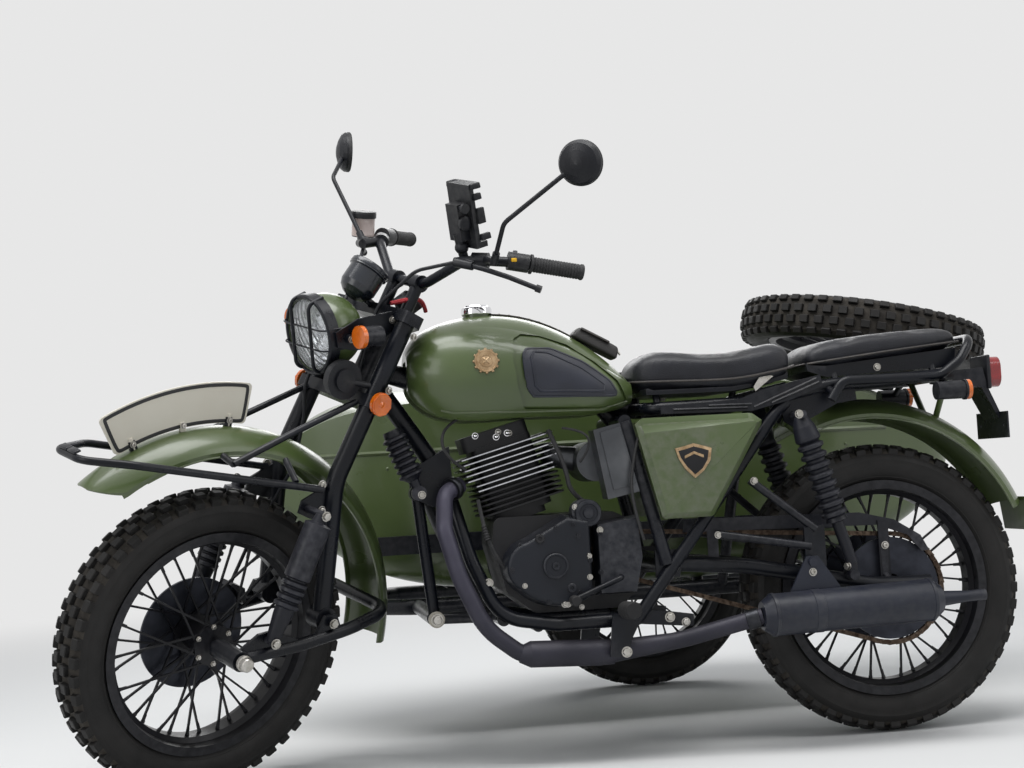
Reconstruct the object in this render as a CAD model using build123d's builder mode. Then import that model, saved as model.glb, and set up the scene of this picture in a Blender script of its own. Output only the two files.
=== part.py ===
from build123d import *
from math import asin, cos, radians, sin, tan
import os

# A motorcycle with a passenger sidecar on its right side, in millimetres.
# While the pieces are built, x runs to the rear from the front axle of the machine with its
# steering straight, y runs to the rider's right and z runs up from the floor.
# At the end everything moves so that the origin is under the middle of the whole machine.

# Wheels and where they stand
wheelbase = 1527.0
track = 1072.0
sidecar_wheel_lead = 307.0
tyre_radius = 322.0
tyre_width = 110.0
tyre_crown_drop = 9.0
tyre_shoulder_height = 17.0
tyre_bead_radius = 227.0
tyre_bead_height = 13.0
rim_width = 88.0
rim_lip = 6.0
rim_seat_depth = 9.0
rim_well_radius = 208.0
rim_well_width = 34.0
hub_flange_radius = 44.0
hub_barrel_radius = 30.0
hub_width = 92.0
hub_flange_thickness = 7.0
spoke_size = 4.4
spoke_count = 36
spoke_lead_deg = 48.0
spoke_rim_offset = 6.0
axle_radius = 10.0
running_gap = 0.05
side_gap = 1.0

# Steering geometry
rake_deg = 27.0
trail = 48.6
parked_turn_deg = 34.3
stem_radius = 17.0
head_tube_outer = 30.0
head_tube_inner = 21.0
head_bottom = 822.0
head_top = 958.0
yoke_thickness = 26.0
yoke_gap = 6.0
fork_spread = 110.0
fork_lead = 38.0
fork_leg_radius = 20.0
fork_kink_height = 658.0
fork_foot_x = 222.0
fork_foot_height = 363.0
fork_foot_radius = 26.0

# Leading link, a loop that carries the axle and runs round behind the tyre
link_spread = 130.0
link_tube_radius = 14.0
link_rear_x = 385.0
link_rear_height = 356.0
link_boss_radius = 21.0
shock_top_x = 179.0
shock_top_height = 608.0
shock_foot_x = 67.0
shock_foot_height = 354.0
shock_cover_radius = 28.0

# Front mudguard, concentric with the wheel
guard_radius = 456.0
guard_half_width = 66.0
guard_skirt = 50.0
guard_sheet = 3.0
guard_front_deg = 127.0
guard_rear_deg = -9.0

# Rear end: what carries the wheel takes its place from the rear axle
pivot_x = 1010.0
pivot_height = 410.0
arm_spread = 89.0
arm_rear_spread = 122.0
arm_radius = 17.0
rear_shock_top_x = 1318.0
rear_shock_top_height = 712.0
rear_shock_foot_x = wheelbase - 113
rear_shock_foot_height = 388.0
rear_guard_x = wheelbase - 27
rear_guard_radius = 398.0
seat_rail_end = 1690.0
tail_x = max(seat_rail_end, rear_guard_x + 190) + 116
# The pillion's pegs and the silencer's hanger stand a little ahead of the rear shock
peg_height = 466.0
shock_lean = (rear_shock_foot_x - rear_shock_top_x) / (rear_shock_top_height - rear_shock_foot_height)
peg_x = rear_shock_top_x + shock_lean * (rear_shock_top_height - peg_height) - 57
silencer_hanger_x = peg_x - 21
cylinder_lean_deg = 15.0

# Sidecar body
tub_middle = 615.0
tub_half_width = 285.0
tub_wall = 4.0
cockpit_front = 690.0
cockpit_rear = 1290.0
cockpit_half_width = 225.0
cockpit_corner = 130.0

pieces = {}
axle_height = tyre_radius
rear_axle = (wheelbase, 0.0, axle_height)
sidecar_axle = (wheelbase - sidecar_wheel_lead, track, axle_height)
rake = radians(rake_deg)
steer_axis = Axis((-trail, 0, 0), (sin(rake), 0, cos(rake)))


def axis_x(height):
    """Where the steering axis stands at one height."""
    return -trail + height * tan(rake)


def tube(points, bend, radius):
    """A round bar along straight runs joined by arcs."""
    with BuildPart() as made:
        with BuildLine() as path:
            if len(points) == 2:
                Line(*points)
            else:
                FilletPolyline(*points, radius=bend)
        with BuildSketch(Plane(origin=path.line @ 0, z_dir=path.line % 0)):
            Circle(radius)
        sweep()
    return made.part


def bar(start, end, radius):
    """A straight round bar between two points."""
    run = Vector(*end) - Vector(*start)
    with BuildPart() as made:
        with BuildSketch(Plane(origin=start, z_dir=run)):
            Circle(radius)
        extrude(amount=run.length)
    return made.part


def cone(start, end, start_radius, end_radius):
    """A straight round bar whose radius changes evenly."""
    run = Vector(*end) - Vector(*start)
    at_start = Plane(origin=start, z_dir=run)
    with BuildPart() as made:
        with BuildSketch(at_start):
            Circle(start_radius)
        with BuildSketch(at_start.offset(run.length)):
            Circle(end_radius)
        loft()
    return made.part


def plate(outline, near, far):
    """A flat plate upright along the machine, its outline in x and z, from y near to y far."""
    with BuildPart() as made:
        with BuildSketch(Plane(origin=(0, far, 0), x_dir=(1, 0, 0), z_dir=(0, -1, 0))):
            with BuildLine():
                Polyline(*outline, close=True)
            make_face()
        extrude(amount=far - near)
    return made.part


def mirrored(shape):
    """The same piece on the other side of the bike."""
    return shape.mirror(Plane.XZ)


def keep(name, shape):
    pieces[name] = shape


def turned(shape):
    """A piece of the front end, turned with the parked steering."""
    return shape.rotate(steer_axis, parked_turn_deg)


# Tyres and spoked wheels, made once about the origin with the axle along y
half_tyre = tyre_width / 2
seat_half = rim_width / 2 - rim_lip
with BuildPart() as tyre:
    with BuildSketch(Plane.YZ):
        with BuildLine():
            crown = tyre_radius - tyre_crown_drop
            shoulder = crown - tyre_shoulder_height
            bead_top = tyre_bead_radius + tyre_bead_height
            widest = (bead_top + shoulder) / 2
            Line((-seat_half, tyre_bead_radius), (seat_half, tyre_bead_radius))
            Line((seat_half, tyre_bead_radius), (seat_half, bead_top))
            ThreePointArc((seat_half, bead_top), (half_tyre, widest), (half_tyre - 4, shoulder))
            Line((half_tyre - 4, shoulder), (half_tyre - 12, crown))
            ThreePointArc((half_tyre - 12, crown), (0, tyre_radius), (12 - half_tyre, crown))
            Line((12 - half_tyre, crown), (4 - half_tyre, shoulder))
            ThreePointArc((4 - half_tyre, shoulder), (-half_tyre, widest), (-seat_half, bead_top))
            Line((-seat_half, bead_top), (-seat_half, tyre_bead_radius))
        make_face()
    revolve(axis=Axis.Y)

rim_half = rim_width / 2
lip_radius = tyre_bead_radius + tyre_bead_height
seat_inner = tyre_bead_radius - rim_seat_depth
well_half = rim_well_width / 2
rim_outline = [
    (-rim_half, lip_radius),
    (-seat_half, lip_radius),
    (-seat_half, tyre_bead_radius),
    (seat_half, tyre_bead_radius),
    (seat_half, lip_radius),
    (rim_half, lip_radius),
    (rim_half, seat_inner + 3),
    (well_half + 8, seat_inner),
    (well_half, rim_well_radius),
    (-well_half, rim_well_radius),
    (-well_half - 8, seat_inner),
    (-rim_half, seat_inner + 3),
]


def spoke_bars():
    """Laced spokes: each leaves a hub flange and meets the rim some way round."""
    bars = []
    reach = rim_well_radius + 4
    flange_y = hub_width / 2 - hub_flange_thickness / 2
    for index in range(spoke_count):
        side = 1 if index % 2 else -1
        lead = spoke_lead_deg if index % 4 < 2 else -spoke_lead_deg
        rim_angle = radians(index * 360 / spoke_count)
        hub_angle = rim_angle + radians(lead)
        root = hub_flange_radius - 6
        start = Vector(root * cos(hub_angle), side * flange_y, root * sin(hub_angle))
        end = Vector(reach * cos(rim_angle), side * spoke_rim_offset, reach * sin(rim_angle))
        with BuildPart() as spoke:
            with BuildSketch(Plane(origin=start, z_dir=end - start)):
                Rectangle(spoke_size, spoke_size)
            extrude(amount=(end - start).length)
        bars.append(spoke.part)
    return bars


with BuildPart() as laced_wheel:
    with BuildSketch(Plane.YZ):
        with BuildLine():
            Polyline(*rim_outline, close=True)
        make_face()
    revolve(axis=Axis.Y)
    bore = axle_radius + running_gap
    with BuildSketch(Plane.YZ):
        with BuildLine():
            inner_flange = hub_width / 2 - hub_flange_thickness
            Polyline(
                (-hub_width / 2, bore),
                (-hub_width / 2, hub_flange_radius),
                (-inner_flange, hub_flange_radius),
                (-inner_flange, hub_barrel_radius),
                (inner_flange, hub_barrel_radius),
                (inner_flange, hub_flange_radius),
                (hub_width / 2, hub_flange_radius),
                (hub_width / 2, bore),
                close=True,
            )
        make_face()
    revolve(axis=Axis.Y)
    add(spoke_bars())


def ring_disc(inner, outer, near, far, centre):
    """A flat ring about an axle, from y near to y far."""
    with BuildPart() as made:
        with BuildSketch(Plane(origin=(centre[0], far, centre[2]), z_dir=(0, -1, 0))):
            Circle(outer)
            Circle(inner, mode=Mode.SUBTRACT)
        extrude(amount=far - near)
    return made.part


front_axle = (0.0, 0.0, axle_height)
keep("front_tyre", turned(tyre.part.moved(Location(front_axle))))
keep("front_wheel_rim", turned(laced_wheel.part.moved(Location(front_axle))))
keep("rear_tyre", tyre.part.moved(Location(rear_axle)))
keep("rear_wheel_rim", laced_wheel.part.moved(Location(rear_axle)))
keep("sidecar_tyre", tyre.part.moved(Location(sidecar_axle)))
keep("sidecar_wheel_rim", laced_wheel.part.moved(Location(sidecar_axle)))

# Brake discs and the driven sprocket, bolted to the hub flanges
disc_thickness = 5.0
disc_radius = 120.0
disc_inner = 32.0
sprocket_tip_radius = 113.0
sprocket_thickness = 7.0
carrier_thickness = 18.0
hub_side = hub_width / 2
front_disc = ring_disc(disc_inner, disc_radius, hub_side, hub_side + disc_thickness, front_axle)
keep("front_brake_disc", turned(front_disc))
with BuildPart() as sprocket:
    add(ring_disc(disc_inner, disc_radius, hub_side, hub_side + disc_thickness, rear_axle))
    add(ring_disc(disc_inner, 60, -hub_side - carrier_thickness, -hub_side, rear_axle))
    add(
        ring_disc(
            disc_inner,
            sprocket_tip_radius,
            -hub_side - carrier_thickness - sprocket_thickness,
            -hub_side - carrier_thickness,
            rear_axle,
        )
    )
keep("rear_sprocket_and_disc", sprocket.part)

# Brake calipers stand outside each disc and bridge its edge; one sits on the link, one on the swingarm
caliper_near = hub_side + disc_thickness + 6
caliper_far = caliper_near + 22
caliper_outline = [(64, 40), (68, 78), (92, 96), (122, 80), (126, 52), (116, 36)]


def caliper(axle, side):
    """One caliper, before or behind its axle."""
    with BuildPart() as made:
        add(plate([(axle[0] + side * x, axle[2] + z) for x, z in caliper_outline], hub_side - 8, caliper_far))
        reach = disc_radius + 7
        add(bar((axle[0], 0, axle[2]), (axle[0], caliper_near, axle[2]), reach), mode=Mode.SUBTRACT)
    return made.part


# Fork: stem and two yokes carry a bent leg on each side of the wheel
lower_yoke_height = head_bottom - yoke_gap - yoke_thickness / 2
upper_yoke_height = head_top + yoke_gap + yoke_thickness / 2
axis_direction = Vector(sin(rake), 0, cos(rake))


def on_axis(height, lead=0.0, side=0.0):
    """A point at one height of the steering axis, moved forward of it and sideways."""
    return Vector(axis_x(height) - lead * cos(rake), side, height + lead * sin(rake))


def yoke(height):
    """One fork yoke, square to the steering axis, from leg to leg."""
    flat = Plane(origin=on_axis(height), x_dir=(0, 1, 0), z_dir=axis_direction)
    with BuildPart() as made:
        with BuildSketch(flat):
            with BuildLine():
                wide = fork_spread + fork_leg_radius + 8
                Polyline(
                    (-wide, fork_lead - 20),
                    (-wide, fork_lead + 26),
                    (wide, fork_lead + 26),
                    (wide, fork_lead - 20),
                    (42, -36),
                    (-42, -36),
                    close=True,
                )
            make_face()
            fillet(vertices(), 12)
        extrude(amount=yoke_thickness / 2, both=True)
    return made.part


def leg(side):
    """One fork leg, along the steering axis and then down to the link's pivot."""
    top = on_axis(upper_yoke_height + 10, fork_lead, side)
    kink = (axis_x(fork_kink_height) - fork_lead / cos(rake), side, fork_kink_height)
    return tube([top, kink, (fork_foot_x, side, fork_foot_height)], 120, fork_leg_radius)


shock_eye_outline = [
    (shock_top_x - 22, shock_top_height - 8),
    (shock_top_x - 14, shock_top_height + 18),
    (shock_top_x + 50, shock_top_height + 46),
    (shock_top_x + 60, shock_top_height + 40),
    (shock_top_x + 60, shock_top_height - 40),
    (shock_top_x + 4, shock_top_height - 22),
]
fork_bars = [bar(on_axis(lower_yoke_height), on_axis(upper_yoke_height), stem_radius)]
fork_bars += [yoke(lower_yoke_height), yoke(upper_yoke_height)]
for side in (-1, 1):
    fork_bars.append(leg(side * fork_spread))
    foot_inner = (fork_foot_x, side * (fork_spread - 22), fork_foot_height)
    foot_outer = (fork_foot_x, side * (fork_spread + 20), fork_foot_height)
    fork_bars.append(bar(foot_inner, foot_outer, fork_foot_radius))
    near, far = sorted((side * (fork_spread - 6), side * fork_spread))
    fork_bars.append(plate(shock_eye_outline, near, far))
with BuildPart() as fork:
    add(fork_bars)
keep("fork", turned(fork.part))

# Leading link: eyes at the fork feet, bosses at the axle, a tube round behind the wheel
link_side = link_spread + 14
link_points = [
    (0, -link_side, axle_height),
    (150, -link_side, axle_height + 4),
    (link_rear_x - 110, -link_side, link_rear_height - 16),
    (link_rear_x, -link_side + 20, link_rear_height),
    (link_rear_x, link_side - 20, link_rear_height),
    (link_rear_x - 110, link_side, link_rear_height - 16),
    (150, link_side, axle_height + 4),
    (0, link_side, axle_height),
]
gusset_outline = [
    (-6, axle_height - 14),
    (-6, axle_height + 14),
    (shock_foot_x - 20, shock_foot_height + 14),
    (shock_foot_x + 16, shock_foot_height + 16),
    (160, axle_height + 8),
    (150, axle_height - 6),
]
eye_outline = [
    (fork_foot_x - 42, axle_height + 10),
    (fork_foot_x - 14, fork_foot_height + 16),
    (fork_foot_x + 14, fork_foot_height + 16),
    (fork_foot_x + 30, axle_height + 14),
]
with BuildPart() as link_frame:
    add(tube(link_points, [300, 300, 55, 55, 300, 300], link_tube_radius))
    for side in (-1, 1):
        inner, outer = sorted((side * (hub_width / 2 + disc_thickness + 14), side * (link_side + 16)))
        add(bar((0, inner, axle_height), (0, outer, axle_height), link_boss_radius))
        near, far = sorted((side * (link_side - 4), side * (link_side + 4)))
        add(plate(gusset_outline, near, far))
        add(plate(eye_outline, near, far))
axle_half = link_side + 28
with BuildPart() as leading_link:
    add(link_frame.part)
    add(bar((0, -axle_half, axle_height), (0, axle_half, axle_height), axle_radius))
    for side in (-1, 1):
        inner, outer = sorted((side * (fork_spread + 20), side * (link_side + 14)))
        add(bar((fork_foot_x, inner, fork_foot_height), (fork_foot_x, outer, fork_foot_height), 9))
    add(caliper(front_axle, 1))
    add(bar((92, caliper_far - 4, 374), (92, link_side, axle_height + 6), 10))
keep("leading_link", turned(leading_link.part))

# Front shocks: a smooth cover over a ribbed boot, between the fork and the link
shock_y = fork_spread + fork_leg_radius + shock_cover_radius + 6


def shock_solid(top, foot, profile):
    """A round solid along a line: its profile lists shares of the length and radii."""
    down = Vector(*foot) - Vector(*top)
    across = Plane(origin=top, z_dir=down).x_dir
    turned_frame = Plane(origin=top, x_dir=across, z_dir=down.cross(across))
    with BuildPart() as made:
        with BuildSketch(turned_frame):
            with BuildLine():
                Polyline(*[(r, -s * down.length) for s, r in profile], close=True)
            make_face()
        revolve(axis=Axis(top, down))
    return made.part


boot_ribs = []
for rib in range(4):
    along = 0.52 + rib * 0.055
    boot_ribs += [(along, 21.0), (along + 0.014, 27.0), (along + 0.036, 27.0), (along + 0.05, 21.0)]
front_shock_profile = [(0.0, 0.0), (0.0, 12.0), (0.06, 16.0), (0.08, shock_cover_radius)]
front_shock_profile += [(0.5, shock_cover_radius), (0.51, 21.0)]
front_shock_profile += boot_ribs
front_shock_profile += [(0.8, 20.0), (0.95, 15.0), (1.0, 12.0), (1.0, 0.0)]
shock_pin_radius = 8.0
shock_solids = []
for side in (-1, 1):
    top = (shock_top_x, side * shock_y, shock_top_height)
    foot = (shock_foot_x, side * shock_y, shock_foot_height)
    pin_end = side * (shock_y + 16)
    shock_solids.append(shock_solid(top, foot, front_shock_profile))
    top_pin = ((shock_top_x, side * fork_spread, shock_top_height), (shock_top_x, pin_end, shock_top_height))
    foot_root = (shock_foot_x, side * (link_side + 4), shock_foot_height)
    foot_pin = (foot_root, (shock_foot_x, pin_end, shock_foot_height))
    shock_solids += [bar(*top_pin, shock_pin_radius), bar(*foot_pin, shock_pin_radius)]
with BuildPart() as front_shocks:
    add(shock_solids)
keep("front_shocks", turned(front_shocks.part))


def mudguard(centre, crown, half_width, skirt, sheet, from_deg, to_deg):
    """A rolled mudguard about an axle, from one angle above the rear floor side to another."""
    start = Vector(centre[0], centre[1], centre[2])
    radial = Vector(cos(radians(from_deg)), 0, sin(radians(from_deg)))
    section = Plane(origin=start, x_dir=(0, 1, 0), z_dir=Vector(0, 1, 0).cross(radial))
    edge = crown - skirt
    inner = half_width - sheet
    with BuildPart() as made:
        with BuildSketch(section):
            with BuildLine():
                Line((-half_width, edge), (-half_width, edge + 10))
                ThreePointArc((-half_width, edge + 10), (0, crown), (half_width, edge + 10))
                Line((half_width, edge + 10), (half_width, edge))
                Line((half_width, edge), (inner, edge))
                Line((inner, edge), (inner, edge + 9))
                ThreePointArc((inner, edge + 9), (0, crown - sheet), (-inner, edge + 9))
                Line((-inner, edge + 9), (-inner, edge))
                Line((-inner, edge), (-half_width, edge))
            make_face()
        revolve(axis=Axis(start, (0, -1, 0)), revolution_arc=to_deg - from_deg)
    return made.part


front_guard = mudguard(
    front_axle, guard_radius, guard_half_width, guard_skirt, guard_sheet, guard_rear_deg, guard_front_deg
)
# The front end of the sheet is cut to a rounded nose
nose_deg = 120.0
nose_length = 68.0
nose_start = -10.0
nose_out = Vector(cos(radians(nose_deg)), 0, sin(radians(nose_deg)))
nose_plane = Plane(origin=Vector(*front_axle) + nose_out * guard_radius, x_dir=(0, 1, 0), z_dir=nose_out)
with BuildPart() as front_fender:
    add(front_guard)
    with BuildSketch(nose_plane):
        with Locations((0, nose_start + 75)):
            Rectangle(4 * guard_half_width, 150)
        with Locations((0, nose_start)):
            Ellipse(guard_half_width + 1, nose_length, mode=Mode.SUBTRACT)
    extrude(amount=80, both=True, mode=Mode.SUBTRACT)
keep("front_fender", turned(front_fender.part))

# Tubes that hold the front mudguard and run round in front of it
hoop_radius = 8.0
hoop_front = -300.0
hoop_front_height = 752.0
hoop_rear_height = 645.0
hoop_points = [
    (shock_top_x + 34, -fork_spread - 2, hoop_rear_height),
    (-215, -fork_spread + 4, hoop_front_height - 8),
    (hoop_front, -52, hoop_front_height),
    (hoop_front, 52, hoop_front_height),
    (-215, fork_spread - 4, hoop_front_height - 8),
    (shock_top_x + 34, fork_spread + 2, hoop_rear_height),
]
with BuildPart() as fender_stays:
    add(tube(hoop_points, [60, 40, 40, 60], hoop_radius))
    for side in (-1, 1):
        outer = side * (fork_spread - 4)
        add(bar((2, side * (guard_half_width - 1), 730), (2, outer, 722), 7))
        add(tube([(2, outer, 722), (150, side * 98, 772), (300, side * (fork_spread - 14), 822)], 300, 7))
        add(bar((150, side * (guard_half_width - 3), 706), (150, side * (fork_spread - 2), 668), 7))
keep("fender_stays", turned(fender_stays.part))

# Blank name plate that stands along the mudguard's crown
plate_inner = guard_radius + 6
plate_outer = guard_radius + 92
plate_from_deg = 79.0
plate_to_deg = 116.0
plate_thickness = 4.0


def arc_band(inner, outer, from_deg, to_deg, near, far, centre):
    """A flat band between two radii about an axle, from y near to y far."""

    def at(radius, angle):
        return (radius * cos(radians(angle)), radius * sin(radians(angle)))

    middle = (from_deg + to_deg) / 2
    with BuildPart() as made:
        with BuildSketch(Plane(origin=(centre[0], far, centre[2]), x_dir=(1, 0, 0), z_dir=(0, -1, 0))):
            with BuildLine():
                ThreePointArc(at(outer, from_deg), at(outer, middle), at(outer, to_deg))
                Line(at(outer, to_deg), at(inner, to_deg))
                ThreePointArc(at(inner, to_deg), at(inner, middle), at(inner, from_deg))
                Line(at(inner, from_deg), at(outer, from_deg))
            make_face()
            fillet(vertices(), 10)
        extrude(amount=far - near)
    return made.part


with BuildPart() as fender_plate:
    half_plate = plate_thickness / 2
    add(arc_band(plate_inner, plate_outer, plate_from_deg, plate_to_deg, -half_plate, half_plate, front_axle))
    for clip_deg in (84, 111):
        across = Vector(cos(radians(clip_deg)), 0, sin(radians(clip_deg)))
        root = Vector(*front_axle) + across * (guard_radius - 1)
        add(bar(root, root + across * 26, 6))
keep("fender_plate", turned(fender_plate.part))

# Headlamp: a bowl, a domed lens with a rim, and a wire guard in front
lamp_centre = (268.0, 0.0, 958.0)
lamp_nod_deg = 8.0
lamp_radius = 80.0
lamp_depth = 92.0
lamp_ring_radius = 86.0
lamp_ring_front = 30.0
lamp_wall = 3.0
nod = radians(lamp_nod_deg)
lamp_forward = Vector(-cos(nod), 0, -sin(nod))
lamp_axis = Axis(lamp_centre, lamp_forward)
lamp_plane = Plane(origin=lamp_centre, x_dir=(0, 1, 0), z_dir=Vector(0, 1, 0).cross(lamp_forward))
lamp_seam = 6.0
bowl_middle = (lamp_radius**2 + lamp_seam**2 - lamp_depth**2) / (2 * (lamp_depth + lamp_seam))
bowl_radius = lamp_depth + bowl_middle
with BuildPart() as headlamp_shell:
    with BuildSketch(lamp_plane):
        with BuildLine():
            inner_bowl = bowl_radius - lamp_wall
            inner_edge = lamp_radius - lamp_wall
            inner_seam = bowl_middle + (inner_bowl**2 - inner_edge**2) ** 0.5
            slant = radians(45)
            Line((0, -lamp_depth), (0, lamp_wall - lamp_depth))
            ThreePointArc(
                (0, lamp_wall - lamp_depth),
                (inner_bowl * sin(slant), bowl_middle - inner_bowl * cos(slant)),
                (inner_edge, inner_seam),
            )
            Line((inner_edge, inner_seam), (inner_edge, lamp_ring_front))
            Line((inner_edge, lamp_ring_front), (lamp_ring_radius, lamp_ring_front))
            Line((lamp_ring_radius, lamp_ring_front), (lamp_ring_radius, lamp_seam))
            Line((lamp_ring_radius, lamp_seam), (lamp_radius, lamp_seam))
            ThreePointArc(
                (lamp_radius, lamp_seam),
                (bowl_radius * sin(slant), bowl_middle - bowl_radius * cos(slant)),
                (0, -lamp_depth),
            )
        make_face()
    revolve(axis=lamp_axis)
keep("headlamp_shell", turned(headlamp_shell.part))
with BuildPart() as headlamp_lens:
    with BuildSketch(lamp_plane):
        with BuildLine():
            glass = lamp_radius - lamp_wall
            dome = 12.0
            dome_radius = (glass**2 + dome**2) / (2 * dome)
            half_dome = asin(glass / dome_radius) / 2
            glass_edge = lamp_ring_front - 4
            dome_middle = glass_edge + dome - dome_radius
            Line((0, 10), (glass, 10))
            Line((glass, 10), (glass, glass_edge))
            ThreePointArc(
                (glass, glass_edge),
                (dome_radius * sin(half_dome), dome_middle + dome_radius * cos(half_dome)),
                (0, glass_edge + dome),
            )
            Line((0, glass_edge + dome), (0, 10))
        make_face()
    revolve(axis=lamp_axis)
keep("headlamp_lens", turned(headlamp_lens.part))
hoop_wire = 4.0
cross_wire = 2.0


def in_lamp(forward, side, up):
    """A point ahead of the lamp's middle, to its side and up its face."""
    lamp_up = Vector(-sin(nod), 0, cos(nod))
    return Vector(*lamp_centre) + lamp_forward * forward + Vector(0, side, 0) + lamp_up * up


with BuildPart() as lamp_guard:
    for side in (-34, 34):
        hoop = [in_lamp(8, side, 82), in_lamp(46, side, 72), in_lamp(46, side, -72), in_lamp(8, side, -82)]
        add(tube(hoop, 20, hoop_wire))
    for up in (-22, 22):
        bow = [in_lamp(-14, -89, up), in_lamp(46, -78, up), in_lamp(46, 78, up), in_lamp(-14, 89, up)]
        add(tube(bow, 22, cross_wire))

# Lamp brackets from the fork legs, with the turn signals, side reflectors and horn
ear_out = lamp_ring_radius + 2
signal_radius = 24.0
signal_x = 303.0
signal_y = 132.0
signal_height = 967.0
ear = [
    (252, 940),
    (246, 972),
    (300, 998),
    (388, 1010),
    (392, 968),
    (352, 944),
    (318, 932),
    (290, 932),
]
with BuildPart() as lamp_brackets:
    for side in (-1, 1):
        near, far = sorted((side * ear_out, side * (ear_out + 5)))
        add(plate(ear, near, far))
        add(bar((278, side * (lamp_radius + 3), 958), (278, side * (ear_out + 14), 958), 9))
        add(bar((signal_x, side * ear_out, signal_height), (signal_x, side * signal_y, signal_height), 7))
front_lens = 10.0
signal_body = []
signal_lens = []
for side in (-1, 1):
    middle = (signal_x, side * signal_y, signal_height)
    lens_from = (signal_x - 18, middle[1], signal_height)
    signal_body.append(bar(lens_from, (signal_x + 26, middle[1], signal_height), signal_radius - 2))
    signal_lens.append(bar((lens_from[0] - front_lens, middle[1], signal_height), lens_from, signal_radius))
reflector_radius = 25.0
reflector_at = on_axis(806, fork_lead)
for side in (-1, 1):
    near = side * (fork_spread + fork_leg_radius + 4)
    start = (reflector_at.X, near, reflector_at.Z)
    end = (reflector_at.X, near + side * 16, reflector_at.Z)
    signal_body.append(bar(start, (start[0], near + side * 8, start[2]), reflector_radius - 6))
    signal_lens.append(bar((start[0], near + side * 8, start[2]), end, reflector_radius))
with BuildPart() as lamp_carrier:
    add(lamp_brackets.part)
    add(lamp_guard.part)
    add(signal_body)
keep("lamp_brackets", turned(lamp_carrier.part))
with BuildPart() as front_signal_lenses:
    add(signal_lens)
keep("front_signal_lenses", turned(front_signal_lenses.part))
horn_radius = 42.0
with BuildPart() as horn:
    add(bar((266, -84, 872), (266, -102, 872), horn_radius))
    add(bar((266, -102, 872), (266, -108, 872), 24))
    add(bar((266, -98, 872), on_axis(834, fork_lead, -fork_spread), 7))
keep("horn", turned(horn.part))

# Instrument, bars and controls
gauge_centre = Vector(372, 0, 1066)
gauge_tilt = radians(38)
gauge_face = Vector(sin(gauge_tilt), 0, cos(gauge_tilt))
gauge_profile = [(0.0, 0.0), (0.0, 44.0), (0.1, 45.0), (0.13, 41.0), (0.62, 41.0)]
gauge_profile += [(0.78, 36.0), (0.9, 26.0), (0.97, 14.0), (1.0, 0.0)]
with BuildPart() as gauge:
    add(shock_solid(gauge_centre + gauge_face * 28, gauge_centre - gauge_face * 48, gauge_profile))
    add(bar(gauge_centre - gauge_face * 30, on_axis(upper_yoke_height + 6, 58), 9))
keep("gauge", turned(gauge.part))
bar_radius = 11.0
grip_radius = 16.0
bar_half = [
    (491, 62, 1059),
    (526, 159, 1124),
    (606, 245, 1126),
    (720, 311, 1110),
]
bar_points = [(x, -y, z) for x, y, z in reversed(bar_half)] + bar_half
clamp_y = 42.0
with BuildPart() as handlebar:
    add(tube(bar_points, [90, 70, 50, 50, 70, 90], bar_radius))
    for side in (-1, 1):
        foot = on_axis(upper_yoke_height + yoke_thickness / 2 - 3, 0, side * clamp_y)
        add(bar(foot, (491, side * clamp_y, 1060), 14))
        add(bar((491, side * (clamp_y - 12), 1059), (491, side * (clamp_y + 12), 1059), 19))
keep("handlebar", turned(handlebar.part))
bar_end = Vector(*bar_half[3])
bar_knee = Vector(*bar_half[2])
bar_run = (bar_end - bar_knee).normalized()
grip_length = 118.0
grip_cap = 6.0
grip_start = bar_end - bar_run * (grip_length - grip_cap)
with BuildPart() as right_grip:
    with BuildSketch(Plane(origin=grip_start, z_dir=bar_run)):
        Circle(grip_radius)
    extrude(amount=grip_length)
    with BuildSketch(Plane(origin=grip_start, z_dir=bar_run)):
        Circle(bar_radius + running_gap)
    extrude(amount=grip_length - grip_cap + running_gap, mode=Mode.SUBTRACT)
with BuildPart() as grips:
    add(right_grip.part)
    add(mirrored(right_grip.part))
keep("grips", turned(grips.part))

# Switch blocks and lever perches, with the levers, the front brake's reservoir and a phone holder
block_at = grip_start - bar_run * 26
perch_at = Vector(545, 180, 1125)
lever_ball = 8.0
with BuildPart() as right_controls:
    add(bar(block_at - bar_run * 22, block_at + bar_run * 22, 20))
    add(bar(perch_at, Vector(488, 172, 1121), 11))
    add(bar(Vector(488, 172, 1121), Vector(506, 210, 1118), 10))
    add(bar(perch_at - Vector(8, 11, 1), perch_at + Vector(12, 18, 1), 17))
    lever_points = [(500, 198, 1119), (520, 232, 1113), (556, 268, 1100), (596, 322, 1080)]
    add(tube(lever_points, [60, 120], 5.5))
    add(bar((592, 317, 1082), (599, 326, 1079), lever_ball))
reservoir_at = Vector(540, 248, 1128)
reservoir_radius = 26.0
reservoir_height = 44.0
reservoir_cap = 14.0
with BuildPart() as brake_reservoir:
    cap_at = reservoir_at + Vector(0, 0, reservoir_height)
    add(bar(reservoir_at - Vector(0, 0, 22), reservoir_at, 13))
    add(bar(reservoir_at, cap_at, reservoir_radius))
    add(bar(cap_at, cap_at + Vector(0, 0, reservoir_cap), reservoir_radius + 3))
holder_back = [
    (530, 1150),
    (559, 1157),
    (556, 1169),
    (539, 1165),
    (511, 1276),
    (529, 1280),
    (526, 1292),
    (497, 1285),
]
holder_joint = [(525, 1169), (506, 1247), (483, 1241), (502, 1164)]
with BuildPart() as phone_holder:
    add(plate(holder_back, -192, -116))
    add(plate(holder_joint, -174, -134))
    add(bar((504, -154, 1180), (524, -157, 1126), 10))
with BuildPart() as bar_controls:
    add(right_controls.part)
    add(mirrored(right_controls.part))
    add(brake_reservoir.part)
    add(phone_holder.part)
keep("bar_controls", turned(bar_controls.part))

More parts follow.
